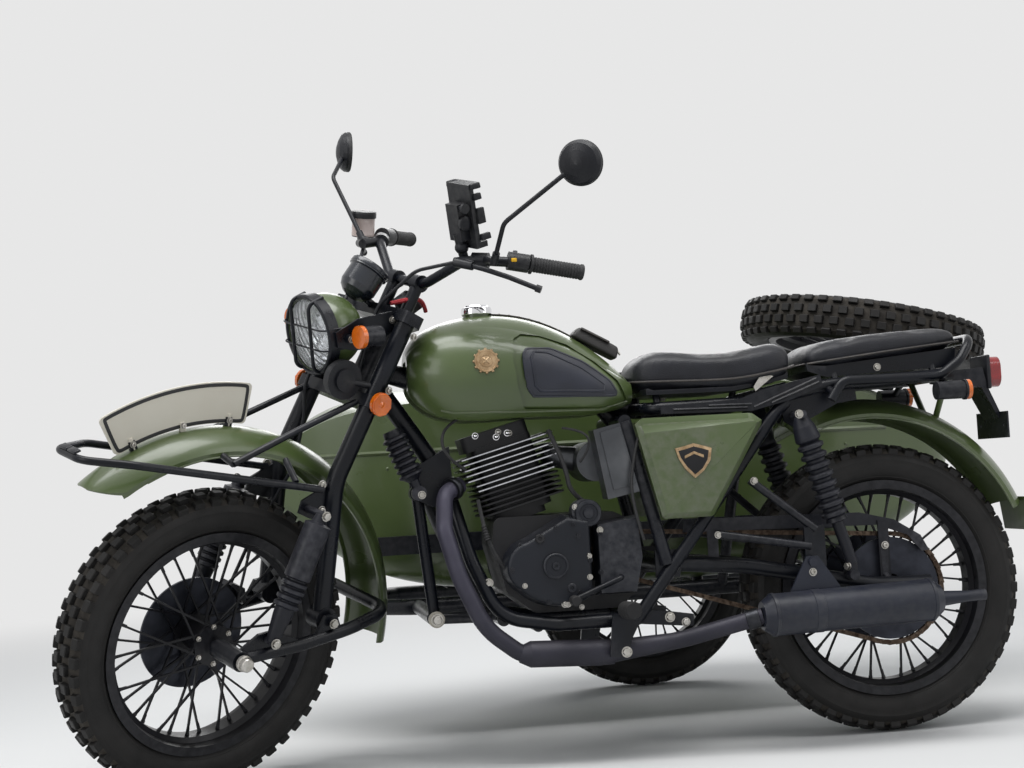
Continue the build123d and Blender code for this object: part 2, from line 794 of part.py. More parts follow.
# Round mirrors on bent stems: (where the stem is clamped, stem, mirror's middle, side)
mirror_turn = radians(26)
mirror_sets = [
    ((550, -188, 1127), [(536, -244, 1132), (518, -290, 1216), (604, -388, 1334)], (618, -402, 1349), -1),
    ((520, 178, 1124), [(506, 200, 1128), (500, 322, 1258), (572, 388, 1304)], (588, 402, 1312), 1),
]
mirror_profile = [(0.0, 0.0), (0.0, 44.0), (0.08, 47.0), (0.34, 47.0)]
mirror_profile += [(0.6, 41.0), (0.82, 27.0), (0.95, 13.0), (1.0, 0.0)]
with BuildPart() as mirrors:
    for root, stem, middle, side in mirror_sets:
        looks = Vector(cos(mirror_turn), -side * sin(mirror_turn), 0)
        foot = Vector(*stem[0])
        rise = (Vector(*stem[1]) - foot).normalized()
        add(tube(stem, 30, 5))
        add(bar(foot - rise * 8, foot + rise * 20, 8))
        add(bar(root, foot, 8))
        add(shock_solid(Vector(*middle) + looks * 8, Vector(*middle) - looks * 24, mirror_profile))
keep("mirrors", turned(mirrors.part))

# Clutch cable to the lower yoke and brake hose to the caliper: (route, bend radii)
cable_radius = 4.0
cable_runs = [
    (
        [(492, -168, 1121), (430, -112, 1098), (372, -64, 1022), (350, -62, 960), (311, -66, 829)],
        [60, 60, 120],
    ),
    (
        [
            (500, 186, 1112),
            (440, 122, 1064),
            (378, 72, 1014),
            (352, 68, 960),
            (282, 76, 835),
            (285, 78, 760),
            (262, 78, 650),
            (150, 80, 480),
            (104, 68, 408),
        ],
        [60, 60, 120, 90, 120, 120, 60],
    ),
]
with BuildPart() as front_cables:
    for run, bends in cable_runs:
        add(tube(run, bends, cable_radius))
keep("front_cables", turned(front_cables.part))

# Main frame of tubes: (route, bend radii, tube radius)
rail_y = 108.0
backbone_points = [
    (axis_x(866) + 20, 0, 866),
    (480, 0, 842),
    (600, 0, 800),
    (900, 0, 766),
    (985, 0, 752),
]
cradle_points = [
    (556, -12, 590),
    (590, -70, 440),
    (640, -108, 318),
    (760, -122, 298),
    (935, -122, 298),
]
seat_rail_points = [
    (975, -10, 750),
    (1000, -rail_y, 746),
    (1240, -rail_y, 750),
    (1400, -rail_y, 780),
    (seat_rail_end, -rail_y, 790),
]
frame_routes = [
    (backbone_points, [100, 200, 200], 23),
    ([(axis_x(850) + 22, 0, 838), (535, 0, 640), (560, 0, 560)], [60], 20),
    ([(900, 0, 766), (934, 0, 722)], [1], 16),
]
side_routes = [
    (cradle_points, [200, 90, 60], 15),
    ([(935, -122, 298), (1054, -122, 447), (1262, -116, 712), (1300, -110, 748)], [300, 100], 14),
    ([(934, -118, 722), (1008, -122, 410)], [1], 14),
    (seat_rail_points, [30, 300, 300], 14),
]
frame_solids = [tube(*route) for route in frame_routes]
for route, bends, radius in side_routes:
    half = tube(route, bends if len(bends) > 1 else bends[0], radius)
    frame_solids += [half, mirrored(half)]
cross_bars = [
    ((935, 298), 122, 14),
    ((720, 296), 118, 12),
    ((rear_shock_top_x, 765), rail_y, 12),
    ((seat_rail_end, 790), rail_y, 12),
    ((934, 722), 118, 14),
    ((648, 314), 108, 14),
    ((488, 592), 28, 9),
]
for (x, z), half, radius in cross_bars:
    frame_solids.append(bar((x, -half, z), (x, half, z), radius))
head_low = on_axis(head_bottom)
head_high = on_axis(head_top)
damper_plate_inner = 17.0
damper_plate_outer = 28.0
# Side plates: shock top and seat rail, swingarm pivot, bottom rear corner
shock_plate = [
    (1288, 752),
    (1340, 764),
    (1420, 778),
    (1462, 780),
    (1466, 744),
    (1420, 738),
    (1342, 700),
    (1318, 690),
    (1296, 704),
]
pivot_plate = [(984, 380), (984, 440), (1036, 440), (1044, 410), (1036, 380)]
corner_plate = [(925, 288), (935, 316), (1000, 310), (1058, 300), (1058, 274), (1000, 280)]
for side in (-1, 1):
    near, far = sorted((side * 96, side * 104))
    frame_solids.append(plate(shock_plate, near, far))
    near, far = sorted((side * damper_plate_inner, side * damper_plate_outer))
    frame_solids.append(plate([(470, 640), (560, 690), (566, 560), (520, 560), (478, 580)], near, far))
    near, far = sorted((side * 107, side * 115))
    frame_solids.append(plate(pivot_plate, near, far))
    near, far = sorted((side * 117, side * 127))
    frame_solids.append(plate(corner_plate, near, far))
with BuildPart() as main_frame:
    add(bar(head_low, head_high, head_tube_outer))
    add(frame_solids)
    with BuildSketch(Plane(origin=head_low, z_dir=axis_direction)):
        Circle(head_tube_inner)
    extrude(amount=(head_high - head_low).length, mode=Mode.SUBTRACT)
keep("main_frame", main_frame.part)

# Engine: crankcase, side covers and a leaning finned cylinder
case_outline = [
    (636, 470),
    (660, 370),
    (720, 322),
    (900, 322),
    (940, 350),
    (966, 420),
    (962, 500),
    (900, 530),
    (640, 530),
]
case_half_width = 92.0
with BuildPart() as engine_case:
    add(plate(case_outline, -case_half_width, case_half_width))
    fillet(engine_case.edges().filter_by(Axis.Y), 16)
    chain_pocket = [(846, 384), (846, 498), (1000, 498), (1000, 350), (930, 368), (880, 384)]
    add(plate(chain_pocket, -case_half_width, -48), mode=Mode.SUBTRACT)
keep("engine_case", engine_case.part)
cover_depth = 50.0
with BuildPart() as left_covers:
    with BuildSketch(Plane(origin=(0, -case_half_width, 0), x_dir=(1, 0, 0), z_dir=(0, -1, 0))):
        with BuildLine():
            Line((845, 520), (845, 352))
            ThreePointArc((845, 352), (752, 334), (680, 372))
            ThreePointArc((680, 372), (654, 440), (700, 482))
            Line((700, 482), (790, 530))
            Line((790, 530), (845, 520))
        make_face()
    extrude(amount=cover_depth, taper=8)
    fillet(left_covers.faces().sort_by(Axis.Y)[0].edges(), 10)
    with BuildSketch(Plane(origin=(0, -case_half_width, 0), x_dir=(1, 0, 0), z_dir=(0, -1, 0))):
        with BuildLine():
            Polyline((853, 508), (950, 520), (958, 430), (940, 352), (853, 352), close=True)
        make_face()
    extrude(amount=cover_depth - 10, taper=8)
    with Locations((757, -case_half_width - cover_depth, 424)):
        Cylinder(24, 8, rotation=(90, 0, 0))
    with Locations((832, -case_half_width - 20, 532)):
        Cylinder(28, 40, rotation=(90, 0, 0))
with BuildPart() as right_covers:
    with BuildSketch(Plane(origin=(0, case_half_width, 0), x_dir=(-1, 0, 0), z_dir=(0, 1, 0))):
        with BuildLine():
            Line((-930, 380), (-930, 480))
            Line((-930, 480), (-860, 524))
            Line((-860, 524), (-700, 505))
            ThreePointArc((-700, 505), (-646, 430), (-700, 352))
            Line((-700, 352), (-900, 345))
            Line((-900, 345), (-930, 380))
        make_face()
    extrude(amount=cover_depth, taper=10)
    fillet(right_covers.faces().sort_by(Axis.Y)[-1].edges(), 10)
with BuildPart() as engine_covers:
    add(left_covers.part)
    add(right_covers.part)
keep("engine_covers", engine_covers.part)

lean = radians(cylinder_lean_deg)
cylinder_foot = Vector(705, 0, 531)
cylinder_up = Vector(-sin(lean), 0, cos(lean))
cylinder_plane = Plane(origin=cylinder_foot, x_dir=(cos(lean), 0, sin(lean)), z_dir=cylinder_up)
# Stack up the cylinder: (height, thickness, length, width, rounding, shift to the rear)
stack = [(8.0, 160.0, 136.0, 128.0, 20.0, 8.0)]
stack += [(22.0 + 11.0 * n, 3.6, 186.0, 170.0, 16.0, 13.0) for n in range(7)]
stack += [(103.0 + 12.0 * n, 3.6, 214.0, 180.0, 12.0, 13.0) for n in range(5)]
stack += [(164.0, 34.0, 150.0, 120.0, 18.0, 0.0)]
with BuildPart() as engine_cylinder:
    for height, thick, length, width, corner, shift in stack:
        with BuildSketch(cylinder_plane.offset(height)):
            with Locations((shift, 0)):
                RectangleRounded(length, width, corner)
        extrude(amount=thick)
    with BuildSketch(cylinder_plane.offset(-6)):
        RectangleRounded(118, 124, 20)
    extrude(amount=20)
keep("engine_cylinder", engine_cylinder.part)

# Airbox behind the cylinder and the intake pipe between them
with BuildPart() as airbox:
    add(plate([(862, 706), (934, 722), (970, 572), (886, 556)], -124, -70))
    add(bar((876, -72, 640), (876, 60, 640), 44))
    add(cone((770, 0, 661), (880, 0, 640), 22, 30))
keep("airbox", airbox.part)

# Exhaust: header, heat-dark bend and silencer with its hanger
pipe_radius = 18.0
muffler_radius = 45.0
header_points = [
    (576, -54, 604),
    (538, -86, 588),
    (530, -118, 510),
    (556, -126, 410),
    (604, -130, 300),
    (680, -126, 240),
    (890, -126, 231),
    (1030, -146, 250),
    (1192, -192, 291),
]
chamber_radius = 28.0
chamber_profile = [(0.0, 0.0), (0.0, pipe_radius - 1), (0.12, chamber_radius)]
chamber_profile += [(0.86, chamber_radius), (1.0, chamber_radius - 2), (1.0, 0.0)]
with BuildPart() as exhaust_header:
    add(tube(header_points, [40, 50, 200, 160, 60, 500, 300], pipe_radius))
    add(shock_solid((674, -126, 240.3), (878, -126, 231.5), chamber_profile))
    add(cone((862, -126, 232), (1022, -145, 248.5), 25, pipe_radius - 1))
keep("exhaust_header", exhaust_header.part)
muffler_start = Vector(1190, -192, 291)
muffler_end = Vector(1590, -192, 301)
muffler_run = (muffler_end - muffler_start).normalized()
outlet_radius = 12.0
outlet_taper = 64.0
outlet_length = 40.0
silencer_hanger = [(-51, 340), (-13, 410), (13, 410), (59, 342), (59, 318), (-51, 318)]
with BuildPart() as silencer:
    add(cone(muffler_start, muffler_start + muffler_run * 22, 30, muffler_radius))
    add(bar(muffler_start + muffler_run * 22, muffler_end - muffler_run * 20, muffler_radius))
    add(cone(muffler_end - muffler_run * 20, muffler_end, muffler_radius, 30))
    add(cone(muffler_end, muffler_end + muffler_run * outlet_taper, 17, outlet_radius))
    outlet_from = muffler_end + muffler_run * outlet_taper
    outlet_to = outlet_from + muffler_run * outlet_length
    add(bar(outlet_from, outlet_to, outlet_radius))
    with BuildSketch(Plane(origin=outlet_to, z_dir=-muffler_run)):
        Circle(9)
    extrude(amount=120, mode=Mode.SUBTRACT)
    add(plate([(silencer_hanger_x + along, height) for along, height in silencer_hanger], -182, -176))
    add(bar((silencer_hanger_x, -156, 398), (silencer_hanger_x, -188, 398), 9))
keep("silencer", silencer.part)

# Fuel tank as a loft of rounded sections
# Sections: (x, floor, widest height, shoulder, crown, floor half width, half width)
tank_sections = [
    (474, 812, 852, 888, 900, 40, 72),
    (505, 772, 848, 916, 938, 62, 112),
    (570, 746, 842, 938, 964, 92, 142),
    (690, 742, 838, 936, 972, 100, 150),
    (800, 742, 826, 902, 942, 98, 146),
    (900, 744, 806, 846, 880, 88, 126),
    (962, 762, 784, 806, 822, 60, 84),
]


def tank_form(spread):
    """The tank's outer form, wider by the given amount on each side."""
    with BuildPart() as made:
        for x, floor, widest, shoulder, crown, floor_half, half in tank_sections:
            with BuildSketch(Plane(origin=(x, 0, 0), x_dir=(0, 1, 0), z_dir=(1, 0, 0))):
                with BuildLine():
                    wide = half + spread
                    top = half * 0.62 + spread
                    low = floor_half + spread
                    Line((-low, floor), (low, floor))
                    ThreePointArc((low, floor), (wide, widest), (top, shoulder))
                    ThreePointArc((top, shoulder), (0, crown), (-top, shoulder))
                    ThreePointArc((-top, shoulder), (-wide, widest), (-low, floor))
                make_face()
        loft()
    return made.part


tank_body = tank_form(0)
tunnel_outline = [(450, 700), (450, 888), (490, 872), (604, 832), (900, 796), (1000, 782), (1000, 700)]
recess_depth = 6.0
recess_outline = [
    (719, 922),
    (700, 911),
    (693, 863),
    (701, 805),
    (716, 759),
    (884, 752),
    (940, 760),
    (946, 770),
    (926, 812),
    (876, 856),
    (823, 896),
    (762, 917),
]


def side_prism(outline, rounding):
    """An upright outline along the machine, drawn through both sides of the tank."""
    with BuildPart() as made:
        with BuildSketch(Plane.XZ):
            with BuildLine():
                Polyline(*outline, close=True)
            make_face()
            fillet(vertices(), rounding)
        extrude(amount=200, both=True)
    return made.part


with BuildPart() as knee_recess:
    add(side_prism(recess_outline, 8))
    add(tank_form(-recess_depth), mode=Mode.SUBTRACT)
with BuildPart() as fuel_tank:
    add(tank_body)
    add(knee_recess.part, mode=Mode.SUBTRACT)
    add(bar((640, 0, 950), (640, 0, 986), 30))
    add(plate(tunnel_outline, -34, 34), mode=Mode.SUBTRACT)
keep("fuel_tank", fuel_tank.part)
pad_outline = [(720, 803), (714, 872), (724, 889), (778, 888), (848, 856), (906, 812), (926, 778), (734, 782)]
pad_proud = 4.0
pad_glue = 0.2
with BuildPart() as knee_pads:
    add(tank_form(pad_proud))
    add(side_prism(pad_outline, 7), mode=Mode.INTERSECT)
    add(tank_form(pad_glue - recess_depth), mode=Mode.SUBTRACT)
keep("knee_pads", knee_pads.part)


def cushion(outline, half_width, rounding):
    """A plain seat cushion with rounded edges."""
    with BuildPart() as made:
        add(plate(outline, -half_width, half_width))
        fillet(edges().filter_by(Axis.Y), 14)
        fillet(faces().sort_by(Axis.Y)[0].edges() + faces().sort_by(Axis.Y)[-1].edges(), rounding)
    return made.part


rider_outline = [
    (970, 800),
    (962, 824),
    (990, 862),
    (1060, 852),
    (1180, 850),
    (1290, 868),
    (1322, 850),
    (1300, 806),
    (1180, 786),
    (1000, 786),
]
pillion_outline = [(1350, 826), (1362, 852), (1420, 878), (1680, 896), (1722, 880), (1712, 850), (1400, 822)]
keep("rider_seat", cushion(rider_outline, 145, 12))
keep("pillion_seat", cushion(pillion_outline, 125, 12))

# Seat pans on posts, and the ribbed covers along the seat rails
rider_pan = [(985, 776), (985, 790), (1180, 792), (1306, 812), (1306, 797), (1180, 776)]
pillion_pan = [(1358, 812), (1354, 830), (1400, 828), (1708, 856), (1700, 808), (1400, 797)]
rail_cover = [
    (1012, 733),
    (1217, 730),
    (1306, 750),
    (1380, 777),
    (1376, 802),
    (1244, 776),
    (1192, 758),
    (1102, 752),
    (1012, 748),
]
# Posts from the rails to the pans: (x and z on the rail, x and z at the pan)
posts = [
    ((1012, 748), (1012, 782)),
    ((1236, 752), (1246, 800)),
    ((1420, 782), (1420, 806)),
    ((1650, 788), (1650, 814)),
]
with BuildPart() as seat_base:
    add(plate(rider_pan, -118, 118))
    add(plate(pillion_pan, -102, 102))
    for side in (-1, 1):
        near, far = sorted((side * 110, side * 130))
        add(plate(rail_cover, near, far))
        for (rail_x, rail_z), (pan_x, pan_z) in posts:
            add(bar((rail_x, side * 104, rail_z), (pan_x, side * 94, pan_z), 8))
keep("seat_base", seat_base.part)
cover_outline = [(948, 718), (966, 727), (1206, 727), (1232, 708), (1108, 507), (1000, 507)]
cover_chamfer = 9.0
with BuildPart() as left_cover:
    add(plate(cover_outline, -160, -138))
    fillet(left_cover.edges().filter_by(Axis.Y), 10)
    chamfer(left_cover.faces().sort_by(Axis.Y)[0].edges(), cover_chamfer)
with BuildPart() as side_covers:
    add(left_cover.part)
    add(mirrored(left_cover.part))
keep("side_covers", side_covers.part)

# Rear mudguard with its flap, hung from the seat rails
rear_guard_centre = (rear_guard_x, 0.0, 350.0)
guard_sheet_rear = 3.0
rear_guard = mudguard(rear_guard_centre, rear_guard_radius, 82, 46, guard_sheet_rear, 22, 118)
flap = [(364, 506), (372, 506), (382, 430), (374, 430)]
hanger_places = [max(rear_shock_top_x, rear_guard_x - 182), min(seat_rail_end - 10, rear_guard_x + 180)]
with BuildPart() as rear_fender:
    add(rear_guard)
    add(plate([(rear_guard_x + along, height) for along, height in flap], -70, 70))
    for x in hanger_places:
        crown_height = 350.0 + (rear_guard_radius**2 - (x - rear_guard_x) ** 2) ** 0.5
        rail_height = 765 + (x - rear_shock_top_x) * 25 / (seat_rail_end - rear_shock_top_x)
        for side in (-1, 1):
            add(bar((x, side * 30, crown_height - 6), (x, side * rail_y, rail_height), 7))
keep("rear_fender", rear_fender.part)

# Grab rail round the pillion seat
rail_points = [
    (1396, -136, 745),
    (1424, -138, 786),
    (1650, -138, 786),
    (1700, -136, 820),
    (1736, -120, 868),
    (1742, 0, 872),
]
rail_points += [(x, -y, z) for x, y, z in reversed(rail_points[:-1])]
with BuildPart() as grab_rail:
    add(tube([p for p in rail_points if p[1] != 0], [26, 60, 60, 40, 40, 60, 60, 26], 11))
    for side in (-1, 1):
        add(bar((1396, side * rail_y, 772), (1404, side * 138, 760), 9))
        add(bar((1630, side * rail_y, 790), (1630, side * 138, 786), 9))

# Tail lamp, rear turn signals and the blank plate bracket
with BuildPart() as tail_bracket:
    add(
        plate(
            [
                (seat_rail_end + 10, 776),
                (seat_rail_end + 10, 800),
                (tail_x - 10, 806),
                (tail_x, 760),
                (tail_x + 30, 690),
                (tail_x + 22, 686),
                (tail_x - 16, 760),
            ],
            -40,
            40,
        )
    )
    for side in (-1, 1):
        add(bar((1660, side * rail_y, 784), (1660, side * 168, 752), 7))
        add(bar((1625, side * 168, 752), (1690, side * 168, 752), 20))
    add(plate([(tail_x + 22, 642), (tail_x + 22, 702), (tail_x + 26, 702), (tail_x + 26, 642)], -80, 80))
    with BuildSketch(Plane(origin=(tail_x + 4, 0, 672), x_dir=(0, 1, 0), z_dir=(1, 0, 0))):
        with Locations((-60, 0), (60, 0)):
            Circle(3.3)
    extrude(amount=40, mode=Mode.SUBTRACT)
with BuildPart() as rear_rack:
    add(grab_rail.part)
    add(tail_bracket.part)
keep("rear_rack", rear_rack.part)
with BuildPart() as tail_lamp:
    with BuildSketch(Plane(origin=(tail_x, 0, 795), x_dir=(0, 1, 0), z_dir=(1, 0, 0))):
        RectangleRounded(84, 70, 24)
    extrude(amount=34)
keep("tail_lamp", tail_lamp.part)
with BuildPart() as rear_signal_lenses:
    for side in (-1, 1):
        add(bar((1690, side * 168, 752), (1702, side * 168, 752), 22))
keep("rear_signal_lenses", rear_signal_lenses.part)

# Swingarm, rear shocks, chain and chain guard
drop_to_wheel = axle_height + 14
axle_plate = [(-37, 300), (-37, 350), (73, 350), (73, 300)]
with BuildPart() as swingarm:
    for side in (-1, 1):
        arm = side * arm_spread
        rear_arm = side * arm_rear_spread
        route = [
            (pivot_x, arm, pivot_height),
            (wheelbase - 327, arm, pivot_height - 18),
            (wheelbase - 57, rear_arm, drop_to_wheel),
            (wheelbase + 73, rear_arm, drop_to_wheel - 6),
        ]
        add(tube(route, [250, 200], arm_radius))
        near, far = sorted((side * (arm_rear_spread - 5), side * (arm_rear_spread + 5)))
        add(plate([(wheelbase + along, height) for along, height in axle_plate], near, far))
        inner, outer = sorted((side * (hub_side + 30), side * (arm_rear_spread - 4)))
        add(bar((wheelbase, inner, axle_height), (wheelbase, outer, axle_height), 15))
    add(bar((pivot_x, -102, pivot_height), (pivot_x, 102, pivot_height), 22))
    axle_end_y = arm_rear_spread + 18
    add(bar((wheelbase, -axle_end_y, axle_height), (wheelbase, axle_end_y, axle_height), axle_radius))
    add(caliper(rear_axle, -1))
    carrier_end = (wheelbase - 92, arm_rear_spread - 4, drop_to_wheel + 8)
    add(bar((wheelbase - 92, caliper_far - 4, 374), carrier_end, 10))
keep("swingarm", swingarm.part)
rear_shock_y = 146.0
rear_shock_profile = [(0.0, 0.0), (0.0, 14.0), (0.07, 24.0), (0.14, 28.0), (0.16, 28.0)]
for turn in range(8):
    along = 0.18 + turn * 0.065
    rear_shock_profile += [(along, 21.0), (along + 0.015, 29.0), (along + 0.035, 29.0), (along + 0.05, 21.0)]
rear_shock_profile += [(0.71, 24.0), (0.72, 13.0), (0.96, 13.0), (1.0, 13.0), (1.0, 0.0)]
with BuildPart() as rear_shocks:
    for side in (-1, 1):
        top = (rear_shock_top_x, side * rear_shock_y, rear_shock_top_height)
        foot = (rear_shock_foot_x, side * rear_shock_y, rear_shock_foot_height)
        add(shock_solid(top, foot, rear_shock_profile))
        pin = rear_shock_top_height + 4
        add(bar((rear_shock_top_x, side * 100, pin), (rear_shock_top_x, side * (rear_shock_y + 22), pin), 9))
        pin = rear_shock_foot_height - 14
        inner, outer = side * (arm_rear_spread - 8), side * (rear_shock_y + 16)
        add(bar((rear_shock_foot_x, inner, pin - 12), (rear_shock_foot_x, outer, pin - 12), 11))
        add(bar((rear_shock_foot_x, side * rear_shock_y, pin - 12), foot, 12))
keep("rear_shocks", rear_shocks.part)
chain_y = -(hub_side + carrier_thickness + sprocket_thickness / 2)
chain_half = 8.0
chain_height = 13.0
front_sprocket = (905.0, 440.0)
front_sprocket_radius = 38.0
rear_centre = (wheelbase, axle_height)
chain_gap = 1.0
chain_plane = Plane(origin=(0, chain_y + chain_half, 0), x_dir=(1, 0, 0), z_dir=(0, -1, 0))


def chain_hull(extra):
    """The solid inside a belt that runs round both sprockets, this far off their tips."""
    with BuildPart() as made:
        with BuildSketch(chain_plane):
            with BuildLine():
                CenterArc(front_sprocket, front_sprocket_radius + extra, 0, 360)
                CenterArc(rear_centre, sprocket_tip_radius + extra, 0, 360)
            make_hull()
        extrude(amount=2 * chain_half)
    return made.part


with BuildPart() as drive_chain:
    add(chain_hull(chain_gap + chain_height))
    add(chain_hull(chain_gap), mode=Mode.SUBTRACT)
keep("drive_chain", drive_chain.part)
guard_front = [(pivot_x + 46, 474), (pivot_x + 50, 502)]
guard_rear = [(-67, 494), (13, 474), (73, 436), (91, 402), (73, 400), (43, 438), (-27, 464)]
guard_outline = guard_front + [(wheelbase + along, height) for along, height in guard_rear]
guard_strap = [(-27, 344), (-27, 474), (-3, 470), (-3, 344)]
front_strap = [(100, 396), (100, 480), (124, 480), (124, 396)]
with BuildPart() as chain_guard:
    add(plate(guard_outline, -86, -82))
    add(plate([(pivot_x + along, height) for along, height in front_strap], -86, -82))
    add(plate([(wheelbase + along, height) for along, height in guard_strap], -90, -86))
    add(bar((wheelbase - 15, -88, 352), (wheelbase - 15, -arm_rear_spread, drop_to_wheel - 2), 7))
keep("chain_guard", chain_guard.part)

# Foot controls: pegs, shift lever, brake pedal and the pillion's pegs
with BuildPart() as footpegs:
    for side in (-1, 1):
        near, far = sorted((side * 158, side * 166))
        add(plate([(862, 226), (872, 312), (940, 312), (912, 262), (900, 222)], near, far))
        add(bar((900, side * 158, 322), (900, side * 246, 326), 15))
        add(bar((885, side * 124, 299), (885, side * 162, 299), 9))
    add(tube([(900, -142, 392), (898, -160, 390), (792, -166, 350)], [8], 6))
    add(bar((792, -150, 349), (792, -190, 349), 9))
peg_plate = [(-28, 386), (-28, 470), (18, 476), (18, 386)]
with BuildPart() as pillion_pegs:
    for side in (-1, 1):
        add(bar((1202, side * 124, 580), (peg_x, side * 157, peg_height), 9))
        add(bar((1117, side * 124, 468), (peg_x - 14, side * 157, 430), 9))
        near, far = sorted((side * 152, side * 160))
        add(plate([(peg_x + along, height) for along, height in peg_plate], near, far))
with BuildPart() as foot_controls:
    add(footpegs.part)
    add(pillion_pegs.part)
keep("foot_controls", foot_controls.part)

# Ribbed steering damper beside the frame's front tube
damper_top = Vector(432, -62, 729)
damper_foot = Vector(484, -62, 600)
damper_ribs = []
for rib in range(7):
    along = 0.1 + rib * 0.1
    damper_ribs += [(along, 20.0), (along + 0.03, 27.0), (along + 0.06, 27.0), (along + 0.09, 20.0)]
damper_profile = [(0.0, 0.0), (0.0, 18.0), (0.06, 20.0)] + damper_ribs
damper_profile += [(0.85, 12.0), (1.0, 10.0), (1.0, 0.0)]
with BuildPart() as steering_damper:
    add(shock_solid(damper_top, damper_foot, damper_profile))
    add(bar((486, -50, 592), (486, -74, 592), 16))
    add(bar((486, -28, 592), (486, -50, 592), 9))
keep("steering_damper", steering_damper.part)

# Sidecar chassis: two long rails, closed by a bent loop at each end
rail_left = tub_middle - tub_half_width + 35
rail_right = tub_middle + tub_half_width - 15
chassis_height = 318.0
chassis_tube = 19.0
rail_front = 560.0
rail_rear = 1580.0
with BuildPart() as sidecar_frame:
    for y in (rail_left, rail_right):
        add(bar((rail_front, y, chassis_height), (rail_rear, y, chassis_height), chassis_tube))
keep("sidecar_frame", sidecar_frame.part)
# End loops: (rail's end, bend, far end)
loop_ends = [(rail_front, rail_front - 60, rail_front - 130), (rail_rear, rail_rear + 60, rail_rear + 120)]
with BuildPart() as cross_tubes:
    for from_x, bend_x, end_x in loop_ends:
        loop = [
            (from_x, rail_left, chassis_height),
            (bend_x, rail_left, chassis_height),
            (end_x, rail_left + 60, chassis_height),
            (end_x, rail_right - 60, chassis_height),
            (bend_x, rail_right, chassis_height),
            (from_x, rail_right, chassis_height),
        ]
        add(tube(loop, [40] * 4, chassis_tube))
    for x in (760, 1220):
        add(bar((x, rail_left, chassis_height), (x, rail_right, chassis_height), 17))

# Stub axle of the sidecar wheel, out from the right rail, with its collar and nut
stub_end = track - hub_width / 2 - 12
axle_end = track + hub_width / 2


def axle_bar(from_y, to_y, radius):
    """A round bar along the sidecar wheel's axle."""
    return bar((sidecar_axle[0], from_y, axle_height), (sidecar_axle[0], to_y, axle_height), radius)


with BuildPart() as sidecar_stub:
    add(axle_bar(rail_right, stub_end, 24))
    add(axle_bar(stub_end, axle_end + 16, axle_radius))
    add(axle_bar(axle_end + side_gap, axle_end + 12, 18))

# Arms from the bike's frame: (bike end, sidecar end, radius)
arms = [
    ((512, 0, 318), (512, rail_left - 6, 318), 17),
    ((946, 110, 300), (1000, rail_left - 6, 316), 16),
    ((500, 24, 600), (640, rail_left - 8, 326), 13),
    ((1262, 116, 712), (1262, rail_left - 8, 326), 13),
]
with BuildPart() as sidecar_arms:
    for start, end, radius in arms:
        add(bar(start, end, radius))
    add(bar((488, 0, 580), (512, 0, 318), 13))
    add(bar((488, -19, 592), (488, 19, 592), 18))
    add(bar((512, 0, 318), (648, 0, 314), 13))
keep("sidecar_arms", sidecar_arms.part)

# Sidecar body as a loft of rounded sections, hollow, with its cockpit cut through the deck
# Sections: (x, half width, floor, side top, crown)
tub_sections = [
    (152, 60, 600, 664, 682),
    (300, 180, 470, 770, 800),
    (520, 262, 372, 806, 852),
    (820, 285, 346, 820, 872),
    (1340, 285, 346, 826, 878),
    (1560, 262, 372, 800, 846),
    (1760, 210, 440, 752, 790),
    (1880, 160, 520, 690, 716),
    (1930, 110, 580, 636, 650),
]


def tub_form(wall):
    """The sidecar body's outer form, drawn in by the wall."""
    with BuildPart() as made:
        for x, half, floor, side_top, crown in tub_sections:
            at = x + (wall if x == tub_sections[0][0] else -wall if x == tub_sections[-1][0] else 0)
            with BuildSketch(Plane(origin=(at, tub_middle, 0), x_dir=(0, 1, 0), z_dir=(1, 0, 0))):
                with BuildLine():
                    wide = half - wall
                    low = floor + wall
                    corner = 0.26 * half
                    kink = corner * (1 - cos(radians(45)))
                    Line((corner - wide, low), (wide - corner, low))
                    ThreePointArc((wide - corner, low), (wide - kink, low + kink), (wide, low + corner))
                    Line((wide, low + corner), (wide, side_top - wall))
                    ThreePointArc((wide, side_top - wall), (0, crown - wall), (-wide, side_top - wall))
                    Line((-wide, side_top - wall), (-wide, low + corner))
                    ThreePointArc((-wide, low + corner), (kink - wide, low + kink), (corner - wide, low))
                make_face()
        loft()
    return made.part


with BuildPart() as sidecar_tub:
    add(tub_form(0))
    add(tub_form(tub_wall), mode=Mode.SUBTRACT)
    with BuildSketch(Plane(origin=((cockpit_front + cockpit_rear) / 2, tub_middle, 700))):
        RectangleRounded(cockpit_rear - cockpit_front, 2 * cockpit_half_width, cockpit_corner)
    extrude(amount=240, mode=Mode.SUBTRACT)
keep("sidecar_tub", sidecar_tub.part)

# Seat and back cushions on a box and a board that stand on the tub's floor
seat_cushion = [(962, 440), (952, 500), (1008, 522), (1224, 504), (1232, 440)]
back_cushion = [(1236, 440), (1240, 520), (1294, 792), (1330, 792), (1330, 440)]


def edge_cushion(outline):
    """A plain cushion across the tub with rounded long edges."""
    with BuildPart() as made:
        add(plate(outline, tub_middle - 216, tub_middle + 216))
        fillet(made.edges().filter_by(Axis.Y), 16)
    return made.part


with BuildPart() as sidecar_seat:
    add(edge_cushion(seat_cushion))
    add(edge_cushion(back_cushion))
keep("sidecar_seat", sidecar_seat.part)
with BuildPart() as sidecar_seat_frame:
    add(plate([(962, 348), (962, 440), (1329, 440), (1329, 348)], tub_middle - 196, tub_middle + 196))
    add(plate([(1330, 348), (1330, 800), (1336, 800), (1336, 348)], tub_middle - 222, tub_middle + 222))
keep("sidecar_seat_frame", sidecar_seat_frame.part)
sidecar_guard_half = 84.0
with BuildPart() as sidecar_fender:
    add(mudguard(sidecar_axle, 400, sidecar_guard_half, 60, 3, 12, 168))
keep("sidecar_fender", sidecar_fender.part)

